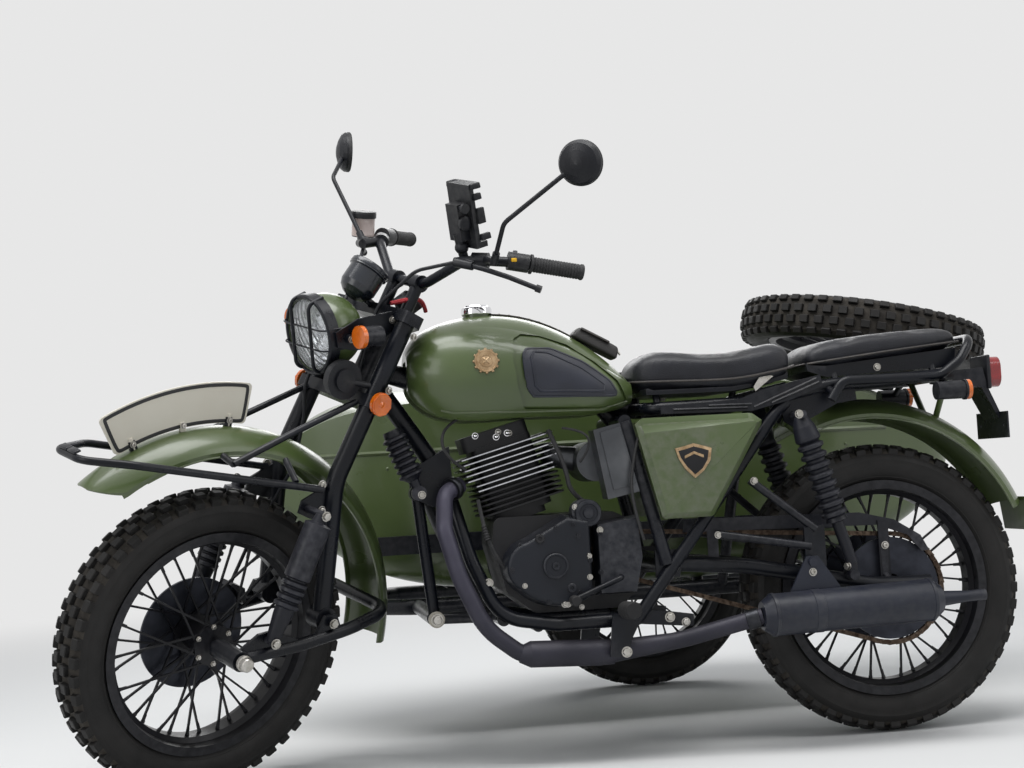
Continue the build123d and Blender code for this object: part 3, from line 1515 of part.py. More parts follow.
# Stays of the sidecar's mudguard, and pads under the tub
guard_face = track - sidecar_guard_half + 2
with BuildPart() as guard_stays:
    for side in (-1, 1):
        foot = (sidecar_axle[0] + side * 220, rail_right, chassis_height + 12)
        add(bar(foot, (sidecar_axle[0] + side * 264, guard_face, 552), 8))
    add(bar((sidecar_axle[0], tub_middle + tub_half_width - 4, 682), (sidecar_axle[0], guard_face, 668), 8))
    for x in (760, 1220):
        for y in (rail_left + 65, rail_right - 85):
            add(bar((x, y, chassis_height + 12), (x, y, 352), 14))
    add(tub_form(0), mode=Mode.SUBTRACT)
with BuildPart() as sidecar_cross_tubes:
    add(cross_tubes.part)
    add(sidecar_stub.part)
    add(guard_stays.part)
keep("sidecar_cross_tubes", sidecar_cross_tubes.part)

# Long guard rail on the tub's left side
rail_face = tub_middle - tub_half_width
with BuildPart() as sidecar_side_rail:
    add(plate([(420, 446), (420, 490), (1560, 490), (1560, 446)], rail_face - 14, rail_face + 15))
    add(tub_form(0), mode=Mode.SUBTRACT)
keep("sidecar_side_rail", sidecar_side_rail.part)

# Spare wheel laid on the sidecar's tail
spare_at = (1760.0, 612.0, 940.0)
spare_tilt_deg = 12.0


def laid(shape):
    flat = shape.rotate(Axis.X, 90)
    tilted = flat.rotate(Axis.Y, spare_tilt_deg)
    return tilted.moved(Location(spare_at))


keep("spare_tyre", laid(tyre.part))
keep("spare_wheel_rim", laid(laced_wheel.part))

# Carrier on the deck: two rails on feet, a cross plate, and a column with a stud through the hub
spare_tilt = radians(spare_tilt_deg)
spare_up = Vector(sin(spare_tilt), 0, cos(spare_tilt))
hub_foot = Vector(*spare_at) - spare_up * hub_side
hub_top = Vector(*spare_at) + spare_up * hub_side
carrier_from, carrier_to = (1500.0, 866.0), (1800.0, 792.0)
carrier_half = 95.0
carrier_slope = (carrier_to[1] - carrier_from[1]) / (carrier_to[0] - carrier_from[0])


def carrier_z(x):
    """Height of the carrier's rails at one place along the tail."""
    return carrier_from[1] + carrier_slope * (x - carrier_from[0])


with BuildPart() as spare_carrier:
    for side in (-1, 1):
        y = spare_at[1] + side * carrier_half
        add(bar((carrier_from[0], y, carrier_from[1]), (carrier_to[0], y, carrier_to[1]), 11))
        for x in (1512, 1650, 1788):
            add(bar((x, y, carrier_z(x)), (x, y, carrier_z(x) - 40), 9))
    bridge = [(x, carrier_z(x) + rise) for x, rise in ((1690, 6), (1690, 14), (1790, 14), (1790, 6))]
    add(plate(bridge, spare_at[1] - carrier_half - 12, spare_at[1] + carrier_half + 12))
    add(bar(hub_foot - spare_up * 96, hub_foot, 34))
    add(bar(hub_foot, hub_top + spare_up * 24, axle_radius))
    add(bar(hub_top, hub_top + spare_up * 14, 20))
    add(tub_form(0), mode=Mode.SUBTRACT)
keep("spare_carrier", spare_carrier.part)

# Pieces that are coped or bored to seat on the piece they meet: (piece, what it seats on)
seats = [
    ("bar_controls", "handlebar"),
    ("mirrors", "handlebar"),
    ("mirrors", "bar_controls"),
    ("engine_cylinder", "engine_case"),
    ("engine_covers", "engine_case"),
    ("exhaust_header", "silencer"),
    ("exhaust_header", "engine_cylinder"),
    ("airbox", "main_frame"),
    ("airbox", "engine_cylinder"),
    ("front_cables", "fork"),
    ("front_cables", "leading_link"),
    ("front_cables", "bar_controls"),
    ("chain_guard", "swingarm"),
    ("silencer", "foot_controls"),
    ("rear_fender", "main_frame"),
    ("fender_plate", "front_fender"),
    ("fender_stays", "fork"),
    ("fender_stays", "front_fender"),
    ("foot_controls", "main_frame"),
    ("gauge", "fork"),
    ("handlebar", "fork"),
    ("horn", "fork"),
    ("lamp_brackets", "fork"),
    ("lamp_brackets", "headlamp_shell"),
    ("rear_rack", "main_frame"),
    ("seat_base", "main_frame"),
    ("seat_base", "rider_seat"),
    ("seat_base", "pillion_seat"),
    ("sidecar_cross_tubes", "sidecar_frame"),
    ("sidecar_cross_tubes", "sidecar_fender"),
    ("sidecar_arms", "sidecar_frame"),
    ("sidecar_arms", "sidecar_cross_tubes"),
    ("sidecar_arms", "main_frame"),
    ("sidecar_seat_frame", "sidecar_tub"),
    ("steering_damper", "main_frame"),
    ("rear_shocks", "main_frame"),
    ("rear_shocks", "swingarm"),
]
for name, seat in seats:
    pieces[name] = pieces[name] - pieces[seat]

# Set the whole machine on its origin and write one file for each piece
whole = Compound(children=[shape.moved(Location((0, 0, 0))) for shape in pieces.values()])
extent = whole.bounding_box()
origin_shift = Location((-extent.center().X, -extent.center().Y, -extent.min.Z))
os.makedirs("parts", exist_ok=True)
for name, shape in pieces.items():
    placed = shape.moved(origin_shift)
    placed.label = name
    export_step(placed, f"parts/{name}.step")
print("origin shift", origin_shift.position)
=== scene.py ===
import bpy
from math import asin, cos, hypot, pi, radians, sin
from mathutils import Matrix, Vector


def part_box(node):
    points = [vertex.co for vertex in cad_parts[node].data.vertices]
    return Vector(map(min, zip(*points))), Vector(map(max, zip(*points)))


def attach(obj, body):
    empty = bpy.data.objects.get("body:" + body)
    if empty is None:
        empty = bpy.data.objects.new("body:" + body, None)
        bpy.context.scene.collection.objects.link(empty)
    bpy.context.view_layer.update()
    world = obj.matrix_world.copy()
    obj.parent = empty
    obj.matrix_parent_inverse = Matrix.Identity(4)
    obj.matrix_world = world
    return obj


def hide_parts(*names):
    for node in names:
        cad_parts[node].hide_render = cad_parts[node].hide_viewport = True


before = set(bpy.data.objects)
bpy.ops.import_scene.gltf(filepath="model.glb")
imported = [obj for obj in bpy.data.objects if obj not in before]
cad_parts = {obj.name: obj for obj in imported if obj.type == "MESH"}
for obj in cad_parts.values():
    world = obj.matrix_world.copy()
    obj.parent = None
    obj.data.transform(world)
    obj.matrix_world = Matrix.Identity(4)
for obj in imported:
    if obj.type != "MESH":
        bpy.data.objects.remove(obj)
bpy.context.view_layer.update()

# The machine's own place in the frame. Lengths are the real ones, in metres.
# It stands on the floor with its nose to -X, its rider's right and the sidecar to +Y.
# The rear wheel gives the line and the height of everything else.
wheelbase = 1.527
tyre_radius = 0.322
rear_low, rear_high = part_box("rear_tyre")
rear_axle = (rear_low + rear_high) / 2
nose = Vector((rear_axle.x - wheelbase, rear_axle.y, rear_axle.z - tyre_radius))


def spot(x, y, z):
    """A place in the frame, from millimetres behind the front axle, to the right and above the floor."""
    return nose + Vector((x, y, z)) / 1000


# Studio: a pale floor that runs on to a pale horizon, and soft lamps from above and both sides.
# The camera stands at the left of the machine, a little ahead of its middle and below the
# saddle's height, turned slightly up and tipped, as the photograph was taken.
photo_width, photo_height = 1024, 768
focal_pixels = 1648.5
bpy.ops.object.camera_add(location=spot(143.9, -3598.6, 616.9))
camera = bpy.context.object
camera.data.sensor_width = 36.0
camera.data.lens = 36.0 * focal_pixels / photo_width
yaw, pitch, roll = 0.1563, 0.0559, -0.0564
ahead = Vector((sin(yaw) * cos(pitch), cos(yaw) * cos(pitch), sin(pitch)))
level = Vector((cos(yaw), -sin(yaw), 0))
upright = level.cross(ahead)
sideways = level * cos(roll) + upright * sin(roll)
upward = upright * cos(roll) - level * sin(roll)
camera.rotation_euler = Matrix((sideways, upward, -ahead)).transposed().to_euler()
bpy.context.scene.camera = camera
bpy.context.scene.view_settings.view_transform = "Standard"


def add_node(tree, kind, inputs, **settings):
    """Adds a shader node. An input is linked where a socket is given for it, and set where a value is."""
    made = tree.nodes.new("ShaderNode" + kind)
    for setting, value in settings.items():
        setattr(made, setting, value)
    for name, value in inputs.items():
        if isinstance(value, bpy.types.NodeSocket):
            tree.links.new(value, made.inputs[name])
        else:
            made.inputs[name].default_value = value
    return made


def seen(tree):
    """1 where the camera looks, straight, in gloss or through glass, and 0 for all other light."""
    sight = add_node(tree, "LightPath", {}).outputs
    seen_by = sight["Is Camera Ray"]
    for other in ("Is Glossy Ray", "Is Transmission Ray"):
        seen_by = add_node(tree, "Math", {0: seen_by, 1: sight[other]}, operation="MAXIMUM").outputs[0]
    return seen_by


def product(tree, one, other):
    """Two factors multiplied."""
    return add_node(tree, "Math", {0: one, 1: other}, operation="MULTIPLY").outputs[0]


horizon_tone = (0.80, 0.80, 0.80, 1)
world = bpy.data.worlds.new("studio")
world.use_nodes = True
bpy.context.scene.world = world
sky = world.node_tree.nodes["Background"]
sky.inputs["Color"].default_value = (0.80, 0.86, 0.92, 1)
sky.inputs["Strength"].default_value = 0.3
pale = add_node(world.node_tree, "Background", {"Color": horizon_tone})
shown_sky = add_node(
    world.node_tree, "MixShader", {0: seen(world.node_tree), 1: sky.outputs[0], 2: pale.outputs[0]}
)
world.node_tree.links.new(shown_sky.outputs[0], world.node_tree.nodes["World Output"].inputs["Surface"])

bpy.ops.mesh.primitive_plane_add(size=60, location=(0, 0, 0))
floor = bpy.context.object
floor.name = "studio_floor"
floor_paint = bpy.data.materials.new("studio_floor")
floor_paint.use_nodes = True
floor_tree = floor_paint.node_tree
floor_shader = floor_tree.nodes["Principled BSDF"]
floor_shader.inputs["Base Color"].default_value = (0.76, 0.76, 0.755, 1)
floor_shader.inputs["Roughness"].default_value = 0.9
# Far from the machine the floor takes the horizon's own tone
floor_place = add_node(floor_tree, "TexCoord", {})
floor_reach = add_node(floor_tree, "VectorMath", {0: floor_place.outputs["Object"]}, operation="LENGTH")
far_off = add_node(
    floor_tree, "MapRange", {"From Min": 1.6, "From Max": 5.5, "Value": floor_reach.outputs["Value"]},
    interpolation_type="SMOOTHSTEP",
)
horizon = add_node(floor_tree, "Emission", {"Color": horizon_tone})
floor_share = product(floor_tree, far_off.outputs["Result"], seen(floor_tree))
floor_mix = add_node(
    floor_tree, "MixShader", {0: floor_share, 1: floor_shader.outputs[0], 2: horizon.outputs[0]}
)
floor_tree.links.new(floor_mix.outputs[0], floor_tree.nodes["Material Output"].inputs["Surface"])
floor.data.materials.append(floor_paint)

# Lamps: (place in metres from the floor's middle, width, depth, watts)
lamps = [
    ((-0.5, -1.1, 3.7), 3.6, 1.6, 128),
    ((-3.6, -2.8, 2.2), 1.8, 2.6, 34),
    ((3.2, -2.4, 2.6), 1.6, 2.4, 24),
    ((0.6, 3.4, 2.8), 3.0, 1.6, 52),
]
for place, width, depth, watts in lamps:
    bpy.ops.object.light_add(type="AREA", location=place)
    lamp = bpy.context.object
    lamp.data.shape = "RECTANGLE"
    lamp.data.size = width
    lamp.data.size_y = depth
    lamp.data.energy = watts
    lamp.rotation_euler = (Vector((0, 0, 0.5)) - lamp.location).to_track_quat("-Z", "Y").to_euler()


# Painted tubes: the main frame, swingarm, fork and stays are steel tube in satin black paint.
# The paint has a faint orange-peel skin, uneven gloss, and road dust where it faces up.


dust_tone = (0.19, 0.165, 0.135)


def noise(tree, scale, detail=4.0):
    """Noise that sits still in the piece."""
    place = add_node(tree, "TexCoord", {}).outputs["Object"]
    return add_node(tree, "TexNoise", {"Scale": scale, "Detail": detail, "Vector": place}).outputs["Fac"]


def ranged(tree, factor, from_low, from_high, low, high):
    """A factor carried over from one range to another."""
    limits = {"From Min": from_low, "From Max": from_high, "To Min": low, "To Max": high}
    return add_node(tree, "MapRange", {**limits, "Value": factor}).outputs["Result"]


def tones(tree, factor, stops):
    """Turns a factor into colours at the given stops: (place from 0 to 1, colour)."""
    ramp = tree.nodes.new("ShaderNodeValToRGB")
    for index, (place, colour) in enumerate(stops):
        stop = ramp.color_ramp.elements[index] if index < 2 else ramp.color_ramp.elements.new(place)
        stop.position = place
        stop.color = (*colour, 1)
    tree.links.new(factor, ramp.inputs["Fac"])
    return ramp.outputs["Color"]


def drift(tree, factor, low, high):
    """Turns noise into a number between low and high."""
    return ranged(tree, factor, 0.3, 0.7, low, high)


def relief(tree, height, depth, strength=1.0):
    """A raised pattern, its depth in metres."""
    return add_node(
        tree, "Bump", {"Strength": strength, "Distance": depth, "Height": height}
    ).outputs["Normal"]


def blended(tree, factor, base, over):
    """A plain colour over another, by a factor."""
    inputs = {"Factor": factor, "A": base, "B": (*over, 1)}
    return add_node(tree, "Mix", inputs, data_type="RGBA").outputs["Result"]


def settled_dust(tree, amount):
    """Where dust lies: on faces that look up, in soft uneven patches, up to the given amount."""
    normal = add_node(tree, "NewGeometry", {}).outputs["Normal"]
    rise = add_node(tree, "SeparateXYZ", {0: normal}).outputs["Z"]
    return product(tree, ranged(tree, rise, 0.2, 1.0, 0.0, amount), drift(tree, noise(tree, 18, 6), 0.3, 1.0))


def worn_edges(tree, amount):
    """Where the finish is rubbed: along the outer edges of the piece, broken up by noise."""
    edge = add_node(tree, "NewGeometry", {}).outputs["Pointiness"]
    return product(
        tree, ranged(tree, edge, 0.53, 0.62, 0.0, amount), drift(tree, noise(tree, 70, 5), 0.0, 1.0)
    )


def finish(
    name, dark, light, gloss, metal=0.0, patch=7.0, grain=600.0, depth=0.0002, coat=0.0, dust=0.0, bare=None,
    shine=0.5,
):
    """A surface finish: two tones in soft patches, gloss from rough to rougher, a fine grain,
    dust on what faces up, and a bare tone along rubbed edges."""
    made = bpy.data.materials.new(name)
    made.use_nodes = True
    tree = made.node_tree
    shader = tree.nodes["Principled BSDF"]
    colour = tones(tree, noise(tree, patch, 6), [(0.36, dark), (0.66, light)])
    if bare:
        colour = blended(tree, worn_edges(tree, 0.7), colour, bare)
    if dust:
        colour = blended(tree, settled_dust(tree, dust), colour, dust_tone)
    tree.links.new(colour, shader.inputs["Base Color"])
    tree.links.new(drift(tree, noise(tree, patch * 3.7, 5), *gloss), shader.inputs["Roughness"])
    tree.links.new(relief(tree, noise(tree, grain, 3), depth), shader.inputs["Normal"])
    shader.inputs["Metallic"].default_value = metal
    shader.inputs["Specular IOR Level"].default_value = shine
    shader.inputs["Coat Weight"].default_value = coat
    shader.inputs["Coat Roughness"].default_value = 0.12
    return made


def dress(material, *nodes):
    """Gives whole solids of the frame their finish."""
    for node in nodes:
        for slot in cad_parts[node].material_slots:
            slot.material = material


frame_black = finish(
    "frame_black", (
        0.003, 0.0038, 0.0062
    ), (0.006, 0.0074, 0.012), (0.24, 0.36), dust=0.025, bare=(0.04, 0.04, 0.045),
    shine=0.26,
)
dress(
    frame_black,
    "main_frame", "swingarm", "fork", "leading_link", "fender_stays", "lamp_brackets", "rear_rack",
    "seat_base", "foot_controls", "sidecar_frame", "sidecar_cross_tubes", "sidecar_arms", "sidecar_side_rail",
    "sidecar_seat_frame", "spare_carrier", "handlebar",
)

# Tyres: block-tread rubber on all three wheels and the spare, each moulded in one piece.
# The side walls are smooth and dark, the blocks worn grey on top with dust in the grooves.
# One tyre is made about the origin with its axle along Y, and the others are its copies.


def only(piece):
    """Makes a piece the only one selected, and the active one."""
    bpy.ops.object.select_all(action="DESELECT")
    piece.select_set(True)
    bpy.context.view_layer.objects.active = piece


def round_edges(offset, segments=1):
    """Rounds all edges of the active piece, by an offset in metres."""
    bpy.ops.object.mode_set(mode="EDIT")
    bpy.ops.mesh.select_all(action="SELECT")
    bpy.ops.mesh.bevel(offset=offset, segments=segments, affect="EDGES")
    bpy.ops.object.mode_set(mode="OBJECT")


def drawn(name, places):
    """A line drawn from place to place, in metres. It is left in edit mode with all of it selected."""
    bpy.ops.object.select_all(action="DESELECT")
    bpy.ops.mesh.primitive_plane_add(size=0.002, location=(0, 0, 0))
    piece = bpy.context.object
    piece.name = name
    bpy.ops.object.mode_set(mode="EDIT")
    bpy.ops.mesh.merge(type="CENTER")
    bpy.ops.transform.translate(value=places[0])
    for place, next_place in zip(places, places[1:]):
        bpy.ops.mesh.extrude_region_move(TRANSFORM_OT_translate={"value": next_place - place})
    bpy.ops.mesh.select_all(action="SELECT")
    return piece


def lathe(name, outline, steps=32):
    """Turned work about Z: an outline of (radius, height) in millimetres, drawn and spun."""
    piece = drawn(name, [Vector((radius, 0, height)) / 1000 for radius, height in outline])
    bpy.ops.mesh.spin(steps=steps, angle=2 * pi, center=(0, 0, 0), axis=(0, 0, 1))
    bpy.ops.mesh.select_all(action="SELECT")
    bpy.ops.mesh.remove_doubles(threshold=0.00002)
    bpy.ops.mesh.normals_make_consistent(inside=False)
    bpy.ops.object.mode_set(mode="OBJECT")
    return piece


def twin(model, name):
    """A copy of a piece with its own mesh."""
    made = model.copy()
    made.data = model.data.copy()
    made.name = name
    bpy.context.scene.collection.objects.link(made)
    return made


def join(name, pieces):
    """Makes one piece of several."""
    bpy.ops.object.select_all(action="DESELECT")
    for piece in pieces:
        piece.select_set(True)
    bpy.context.view_layer.objects.active = pieces[0]
    if len(pieces) > 1:
        bpy.ops.object.join()
    pieces[0].name = name
    return pieces[0]


def scrap(*models):
    """Removes models whose copies are in place."""
    for model in models:
        bpy.data.objects.remove(model)


def fit_out(piece, body, slot, *materials, smooth=35):
    """Gives a finished piece its materials, its smooth faces and its body. The slot is not used."""
    if materials:
        piece.data.materials.clear()
        for material in materials:
            piece.data.materials.append(material)
    only(piece)
    bpy.ops.object.shade_smooth_by_angle(angle=radians(smooth))
    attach(piece, body)
    return piece


def box_block(name, size, at, taper=1.0, round_by=0.0, segments=1):
    """A block with sides in millimetres, drawn in towards its top and with its edges rounded."""
    bpy.ops.object.select_all(action="DESELECT")
    bpy.ops.mesh.primitive_cube_add(size=1, location=(0, 0, 0))
    piece = bpy.context.object
    piece.name = name
    bpy.ops.object.mode_set(mode="EDIT")
    bpy.ops.transform.resize(value=[side / 1000 for side in size])
    bpy.ops.object.mode_set(mode="OBJECT")
    if taper != 1.0:
        for vertex in piece.data.vertices:
            if vertex.co.z > 0:
                vertex.co.x *= taper
                vertex.co.y *= taper
    if round_by:
        round_edges(round_by / 1000, segments)
    piece.data.transform(Matrix.Translation(Vector(at) / 1000))
    return piece


side_rubber = finish(
    "side_rubber", (
        0.0055, 0.0052, 0.005
    ), (0.012, 0.011, 0.0105), (0.5, 0.66), patch=9, grain=240, depth=0.0004,
    shine=0.3,
)
tread_rubber = finish(
    "tread_rubber", (
        0.026, 0.023, 0.02
    ), (0.05, 0.044, 0.037), (0.75, 0.9), patch=28, grain=420, depth=0.0009,
    shine=0.25,
)
block_rubber = finish(
    "block_rubber", (
        0.016, 0.015, 0.0145
    ), (0.034, 0.031, 0.028), (0.62, 0.82), patch=40, grain=500, depth=0.0007,
    shine=0.3,
)
# The carcass's outline on one side: (radius, distance from the middle of the tread)
half_carcass = [
    (228, 36), (236, 37), (243, 41), (247, 46), (
        249, 46.4
    ), (251, 48.2), (259, 51.6), (268, 53.4), (276, 53.6),
    (284, 52.6), (286, 53.2), (290, 52.2), (299, 48), (307, 40), (310.5, 24), (312, 8),
]
carcass = lathe(
    "front_tread_tyre", half_carcass + [(r, -y) for r, y in reversed(half_carcass)] + [half_carcass[0]], 96
)
carcass.data.transform(Matrix.Rotation(pi / 2, 4, "X"))
carcass.data.materials.append(side_rubber)
carcass.data.materials.append(tread_rubber)
carcass.data.materials.append(block_rubber)
for face in carcass.data.polygons:
    face.material_index = 1 if hypot(face.center.x, face.center.z) > 0.3 else 0
# Tread rows: (distance across, length, width, height, share of a pitch by which it leads, tilt in degrees)
tread_rows = [
    (-43.5, 25, 17, 15, 0.0, 24),
    (-14.5, 24, 21, 11, 0.45, 4),
    (14.5, 24, 21, 11, 0.95, -4),
    (43.5, 25, 17, 15, 0.5, -24),
]
pitches = 50
blocks = []
for aside, length, width, height, lead, tilt in tread_rows:
    top = 322 - 9 * (aside / 46) ** 2
    block = box_block("tread_block", (length, width, height), (0, 0, -height / 2), 0.9)
    for vertex in block.data.vertices:
        if abs(aside) > 30 and vertex.co.z < -0.01 and vertex.co.y * aside > 0:
            vertex.co.y += 0.004 * (1 if aside > 0 else -1)
            vertex.co.z -= 0.009
    round_edges(0.0014, 1)
    for face in block.data.polygons:
        face.material_index = 2 if face.normal.z > 0.8 else 1
    block.data.transform(
        Matrix.Translation((0, aside / 1000, top / 1000)) @ Matrix.Rotation(radians(tilt), 4, "X")
    )
    block.data.transform(Matrix.Rotation(2 * pi / pitches * lead, 4, "Y"))
    blocks.append(block)
tread = join("tread", blocks)
for material in (side_rubber, tread_rubber, block_rubber):
    tread.data.materials.append(material)
bpy.ops.object.mode_set(mode="EDIT")
bpy.ops.mesh.select_all(action="SELECT")
bpy.ops.mesh.spin(steps=pitches, dupli=True, angle=2 * pi, center=(0, 0, 0), axis=(0, 1, 0))
bpy.ops.mesh.select_all(action="SELECT")
bpy.ops.mesh.remove_doubles(threshold=0.00005)
bpy.ops.object.mode_set(mode="OBJECT")
tyre = join("tyre", [carcass, tread])

# Where each wheel stands: its axle's middle and direction, as the steering is parked
rake = radians(27)
parked_turn = radians(34.3)
steering_foot = spot(-48.6, 0, 0)
steering_line = Vector((sin(rake), 0, cos(rake)))
steered = (
    Matrix.Translation(steering_foot)
    @ Matrix.Rotation(parked_turn, 4, steering_line)
    @ Matrix.Translation(-steering_foot)
)
spare_middle = spot(1760, 612, 940)
spare_tilt = radians(12)
spare_lay = Matrix.Rotation(spare_tilt, 4, "Y") @ Matrix.Rotation(pi / 2, 4, "X")
# Wheels: (name, body, where the wheel's own frame goes, the frame's tyre)
front_axle, sidecar_axle = spot(0, 0, 322), spot(1220, 1072, 322)
wheels = [
    ("front", "front_wheel", steered @ Matrix.Translation(front_axle), "front_tyre"),
    ("rear", "rear_wheel", Matrix.Translation(spot(1527, 0, 322)), "rear_tyre"),
    ("sidecar", "sidecar_wheel", Matrix.Translation(sidecar_axle), "sidecar_tyre"),
    ("spare", "chassis", Matrix.Translation(spare_middle) @ spare_lay, "spare_tyre"),
]
for name, body, home, node in wheels:
    piece = twin(tyre, name + "_block_tyre")
    piece.data.transform(home)
    fit_out(piece, body, "tyre", smooth=30)
    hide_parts(node)
scrap(tyre)

# Wheels: black steel rims laced with 36 spokes to black hubs. Each spoke ends at the rim in a
# turned nipple, and bolts hold the brake discs and the sprocket to the hub flanges.


def put(piece, at, along=(0, 0, 1), roll=0.0, size=1.0):
    """Moves a piece that was made about Z to its place, its Z along a direction."""
    turn = Vector(along).to_track_quat("Z", "Y").to_matrix().to_4x4()
    piece.data.transform(
        Matrix.Translation(at) @ turn @ Matrix.Rotation(roll, 4, "Z") @ Matrix.Scale(size, 4)
    )
    return piece


wheel_black = finish(
    "wheel_black", (
        0.0045, 0.0045, 0.006
    ), (0.009, 0.009, 0.012), (0.28, 0.42), dust=0.025, bare=(0.04, 0.04, 0.045),
    shine=0.26,
)
dress(wheel_black, "front_wheel_rim", "rear_wheel_rim", "sidecar_wheel_rim", "spare_wheel_rim")
disc_steel = finish(
    "disc_steel", (0.016, 0.018, 0.026), (0.032, 0.035, 0.048), (0.34, 0.46), metal=0.6, patch=30
)
dress(disc_steel, "front_brake_disc", "rear_sprocket_and_disc")
zinc = finish(
    "bright_zinc", (
        0.36, 0.345, 0.31
    ), (0.52, 0.5, 0.47), (0.24, 0.4), metal=0.9, patch=60, grain=900, depth=0.0001
)
nipple = lathe("nipple", [(0, 0), (4.6, 0), (4.6, 5), (3.7, 7), (3.4, 19), (0, 19)], 8)
hub_bolt = lathe("hub_bolt", [(0, 5), (3.6, 5), (4.6, 4), (4.8, 0), (6.5, 0), (6.5, -1.5)], 6)
# Spoke ends and hub bolts: circle and distance from the wheel's middle, in metres
spoke_count, bolt_count = 36, 6
hub_circle, hub_side = 0.038, 0.0425
rim_circle, rim_side = 0.2082, 0.006
bolt_circle, bolt_side = 0.04, 0.0462
for name, body, home, node in wheels:
    nipples = []
    for index in range(spoke_count):
        lead = 48 if index % 4 < 2 else -48
        round_rim = radians(index * 360 / spoke_count)
        round_hub = round_rim + radians(lead)
        side = 1 if index % 2 else -1
        root = Vector((hub_circle * cos(round_hub), side * hub_side, hub_circle * sin(round_hub)))
        end = Vector((rim_circle * cos(round_rim), side * rim_side, rim_circle * sin(round_rim)))
        nipples.append(put(twin(nipple, "nipple"), end, root - end))
    piece = join(name + "_nipples", nipples)
    piece.data.transform(home)
    fit_out(piece, body, "wheel_black", wheel_black)
    bolts = []
    for index in range(bolt_count):
        turn = radians(30 + 360 / bolt_count * index)
        for side in (-1, 1):
            at = Vector((bolt_circle * cos(turn), side * bolt_side, bolt_circle * sin(turn)))
            bolts.append(put(twin(hub_bolt, "hub_bolt"), at, (0, side, 0)))
    piece = join(name + "_hub_bolts", bolts)
    piece.data.transform(home)
    fit_out(piece, body, "disc_steel", zinc)
scrap(nipple, hub_bolt)

# Fasteners: zinc-plated hexagon bolts on washers, socket screws and domed nuts. One of each kind is
# made about Z and copied to every place. A place is found on the piece that carries it, by the
# spot where the photograph shows it, so these stand on the left side only.


def meet(node, start, way):
    """Where a line from a start first meets a solid, and how the solid faces there. None if it doesn't."""
    met, place, normal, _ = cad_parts[node].ray_cast(start, Vector(way))
    return (place, normal) if met else None


def sight_line(px, py):
    """The direction from the camera through a pixel of the photograph."""
    return ahead * focal_pixels + sideways * (px - photo_width / 2) - upward * (py - photo_height / 2)


def touch(px, py, *nodes):
    """Where the sight line through a pixel first meets one of the given solids, and how that faces."""
    hits = [meet(node, camera.location, sight_line(px, py).normalized()) for node in nodes]
    return min(filter(None, hits), key=lambda hit: (hit[0] - camera.location).length)


washer = [(9.6, -0.5), (9.8, 0.2), (9.6, 1.2), (7.4, 1.3)]
hex_head = lathe("hex_head", [(7.2, 1.2), (7.5, 1.6), (7.5, 6.0), (6.6, 6.8), (0, 6.9)], 6)
ring = lathe("ring", washer, 20)
hex_bolt = join("hex_bolt", [hex_head, ring])
cap_head = lathe(
    "cap_head", [(6.2, -0.5), (6.5, 0.3), (6.5, 5.8), (6.0, 6.4), (3.1, 6.4), (3.0, 3.2), (0, 3.2)], 18
)
ring = lathe("ring", washer, 20)
cap_bolt = join("cap_bolt", [cap_head, ring])
dome_nut = lathe(
    "dome_nut", [(9, -0.5), (9, 1.2), (7.2, 1.3), (7.2, 5), (5.8, 8), (3.2, 10.4), (0, 11.2)], 18
)
kinds = {"hex": hex_bolt, "cap": cap_bolt, "dome": dome_nut}
dark_steel = finish(
    "dark_steel", (0.02, 0.021, 0.025), (0.04, 0.041, 0.047), (0.3, 0.45), metal=0.8, patch=50
)
# Fasteners seen from the left: (kind, size, pixel across, pixel down, the nodes that may carry it)
left_bolts = [
    ("cap", 1.15, 662, 398, ("main_frame", "seat_base", "side_covers")),
    ("hex", 1.0, 799, 414, ("main_frame", "rear_shocks", "seat_base")),
    ("hex", 0.9, 754, 481, ("main_frame", "foot_controls")),
    ("hex", 1.15, 647, 558, ("main_frame", "engine_case", "engine_covers")),
    ("hex", 1.15, 670, 617, ("main_frame", "engine_case")),
    ("hex", 1.0, 686, 622, ("main_frame", "foot_controls")),
    ("hex", 0.9, 877, 367, ("seat_base",)),
    ("hex", 1.0, 848, 566, ("rear_shocks", "swingarm")),
    ("cap", 0.9, 813, 572, ("silencer", "foot_controls")),
    ("cap", 0.9, 885, 545, ("swingarm", "chain_guard")),
    ("cap", 0.8, 718, 535, ("foot_controls", "main_frame")),
    ("hex", 1.2, 627, 652, ("foot_controls",)),
    ("cap", 0.8, 565, 604, ("engine_covers", "foot_controls")),
    ("cap", 0.9, 422, 495, ("main_frame", "steering_damper")),
    ("hex", 1.0, 489, 583, ("main_frame", "engine_case")),
]
for kind, size, px, py, nodes in left_bolts:
    place, normal = touch(px, py, *nodes)
    facing = Vector((0, -1, 0)) if normal.y < -0.4 else normal
    name = "bolt_{}_{}".format(px, py)
    piece = put(twin(kinds[kind], name), place, facing, size=size)
    fit_out(piece, "chassis", "disc_steel", zinc)

# Bolts of the front end: they are placed as the fork stands straight and turn with it.
# The end of the axle, the link's pivots and the feet and tops of the shocks are the bright ones.


def fit_front(piece, slot, *materials, smooth=35):
    """Turns a piece that was made straight with the parked steering, and fits it out."""
    piece.data.transform(steered)
    return fit_out(piece, "steering", slot, *materials, smooth=smooth)


axle_cap = lathe("axle_cap", [(10, -6), (17, -6), (17, 0), (14.5, 2), (14.5, 12), (12.5, 14.5), (0, 15)], 24)
kinds["axle"] = axle_cap
hands = {-1: "left", 1: "right"}
